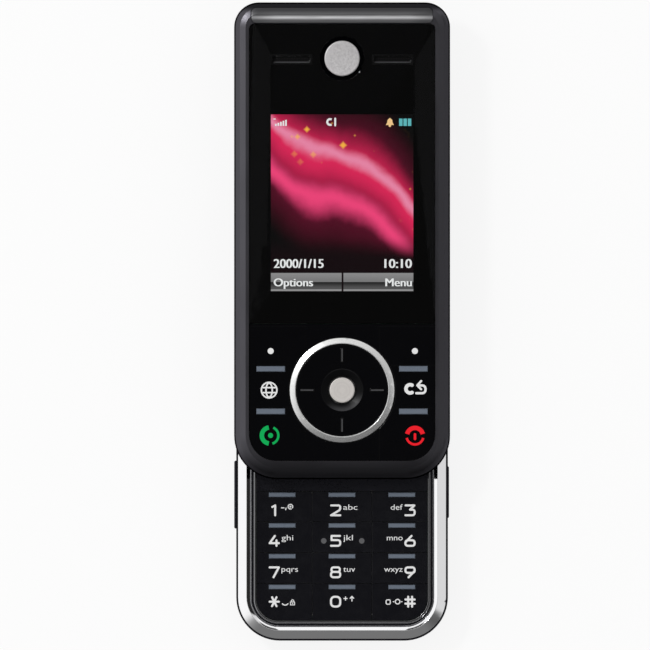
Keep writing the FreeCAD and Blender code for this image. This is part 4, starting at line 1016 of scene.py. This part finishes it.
def dress_nodes():
    """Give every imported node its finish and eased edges."""
    turning = disc_centre("nav_ring")
    silver = {
        "badge_disc": finish("badge_silver", (0.62, 0.605, 0.61), 0.4, metallic=0.6, grain=0.4, depth=0.03,
                             tint=0.3, worn=0.1),
        "select_button": turned_finish("button_silver", (0.7, 0.665, 0.635), turning, 0.42, 0.5, 0.3, 0.003,
                                       0.06),
        "nav_ring": turned_finish("ring_silver", (0.86, 0.86, 0.855), turning, 0.2, 0.95, 0.12, 0.003, 0.05),
        "keypad_trim": finish("smoked_chrome", (0.3, 0.3, 0.31), 0.12, metallic=1.0, grain=1.5, depth=0.002,
                              tint=0.04, worn=0.03),
    }
    painters = {"nav_disc": paint_dish, "display_lens": paint_lens_walls, "main_board": paint_socket}
    painters.update(dict.fromkeys(["key_" + name for name in KEYS], paint_bar))
    painters.update(dict.fromkeys(["web_key", "clear_key", "send_key", "end_key"], paint_bar))
    for node, piece in nodes.items():
        piece.data.materials[0] = silver.get(node) or FINISHES[slot_of[node]]
        painter = painters.get(node)
        if painter:
            painter(piece)
        soften(piece, KEY_EDGE if painter is paint_bar else EDGE_WIDTH.get(node, INNER_EDGE))


# ------------------------------------------------------------ copies of the ribbon cable and the springs
def bending_copy(node):
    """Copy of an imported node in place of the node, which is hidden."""
    piece = bpy.data.objects.new(node + "_bending", nodes[node].data.copy())
    scene.collection.objects.link(piece)
    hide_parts(node)
    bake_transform(piece)


def ribbon_and_springs():
    """Copies of the ribbon cable and the springs in place of their nodes."""
    bending_copy("flex_cable")
    bending_copy("slide_springs")


# ------------------------------------------------------------ studio, metres and watts
FLOOR_REACH = 3.0
FLOOR_DROP = 0.0002
FLOOR_COLOUR = (0.86, 0.86, 0.86, 1.0)
FLOOR_GLOW = 0.85
LAMP_PLACE = (-0.45, 0.38, 0.81)
LAMP_SIZE = 0.14
LAMP_POWER = 2.6
CAMERA_END = 40.0

# Rows of the surround: the level that it goes to, and the ramps along its direction that lead there.
SURROUND = [
    (1.0, [("x", -0.5, -0.65)]),
    (0.72, [("x", 0.6, 0.66)]),
    (0.02, [("x", 0.76, 0.82)]),
    (0.18, [("y", -0.4, -0.6)]),
    (0.04, [("y", -0.84, -0.9)]),
    (0.06, [("y", 0.68, 0.78)]),
    (1.0, [("y", 0.62, 0.74), ("z", 0.36, 0.3)]),
    (0.07, [("z", 0.94, 0.98)]),
    (1.0, [("y", -0.14, -0.2), ("z", 0.88, 0.93)]),
]
# Level in the middle, its rise towards +Y and its fall towards +X, and the level that matt surfaces get.
LEVEL_MIDDLE = 0.5
LEVEL_UP = 0.56
LEVEL_RIGHT = 0.28
DIFFUSE_LEVEL = 0.75


def pale_floor():
    """Floor that shows as white and still keeps the phone's shadow."""
    floor_mesh = bpy.data.meshes.new("floor")
    corners = [(x * FLOOR_REACH, y * FLOOR_REACH, 0) for x, y in ((-1, -1), (1, -1), (1, 1), (-1, 1))]
    floor_mesh.from_pydata(corners, [], [(0, 1, 2, 3)])
    floor = bpy.data.objects.new("floor", floor_mesh)
    scene.collection.objects.link(floor)
    floor.location.z = -FLOOR_DROP
    material, s = new_material("floor")
    path = s.add("LightPath").outputs
    seen = s.math("MAXIMUM", path["Is Camera Ray"],
                  s.math("MAXIMUM", path["Is Glossy Ray"], path["Is Transmission Ray"]))
    matt = s.add("BsdfDiffuse", {"Color": FLOOR_COLOUR})
    lit = s.add("Emission", {"Color": WHITE, "Strength": 1.0})
    glowing = s.math("MULTIPLY", seen, FLOOR_GLOW)
    mix = s.add("MixShader", {0: glowing, 1: matt.outputs[0], 2: lit.outputs[0]})
    s.output(mix.outputs[0])
    floor_mesh.materials.append(material)


def surround():
    """World brighter towards the upper left, with the dark and bright fields that the chrome shows."""
    world = bpy.data.worlds.new("surround")
    world.use_nodes = True
    scene.world = world
    s = Shader(world.node_tree)
    along = dict(zip("xyz", s.add("SeparateXYZ", {0: s.add("TexCoord").outputs["Generated"]}).outputs))
    level = s.math("ADD", LEVEL_MIDDLE, s.math("SUBTRACT", s.math("MULTIPLY", along["y"], LEVEL_UP),
                                               s.math("MULTIPLY", along["x"], LEVEL_RIGHT)))

    def pulled(level, share, target):
        """Level pulled to a target by a share."""
        return s.math("ADD", s.math("MULTIPLY", level, s.math("SUBTRACT", 1.0, share)),
                      s.math("MULTIPLY", share, target))

    for target, ramps in SURROUND:
        share = 1.0
        for axis, start, end in ramps:
            share = s.math("MULTIPLY", share, s.ramp(along[axis], start, end))
        level = pulled(level, share, target)
    path = s.add("LightPath").outputs
    level = pulled(level, path["Is Diffuse Ray"], DIFFUSE_LEVEL)
    level = s.math("MAXIMUM", level, path["Is Camera Ray"])
    background = s.add("Background", {"Color": WHITE, "Strength": level})
    s.output(background.outputs[0], "OutputWorld")


def lamp_and_camera():
    """One broad lamp from the upper left, and the camera far above the phone."""
    lamp = bpy.data.lights.new("key_lamp", "AREA")
    lamp.shape = "DISK"
    lamp.size = LAMP_SIZE
    lamp.energy = LAMP_POWER
    holder = bpy.data.objects.new("key_lamp", lamp)
    holder.location = LAMP_PLACE
    holder.rotation_euler = (-holder.location).to_track_quat("-Z", "Y").to_euler()
    scene.collection.objects.link(holder)

    view = bpy.data.cameras.new("camera")
    view.sensor_width = SENSOR
    view.lens = SENSOR * CAMERA_DISTANCE / FRAME_WIDTH
    view.clip_end = CAMERA_END
    camera = bpy.data.objects.new("camera", view)
    plane = cad_box[1].z / MM
    camera.location = (VIEW_CENTRE[0] * MM, VIEW_CENTRE[1] * MM, (plane + CAMERA_DISTANCE) * MM)
    scene.collection.objects.link(camera)
    scene.camera = camera


def clear_start():
    """Remove what a new Blender file holds besides the frame."""
    for name in ("Cube", "Light", "Camera"):
        found = bpy.data.objects.get(name)
        if found is not None:
            bpy.data.objects.remove(found)


slot_of = {node: piece.data.materials[0].name.split(".")[0] for node, piece in nodes.items()}
clear_start()
pale_floor()
surround()
lamp_and_camera()
dress_nodes()
disc_groove_highlights()
key_legends()
function_legends()
display()
earpiece_shade_backing()
camera_eye()
ribbon_and_springs()
screw_heads("housing_screws", "base")
screw_heads("slider_screws", "slider")
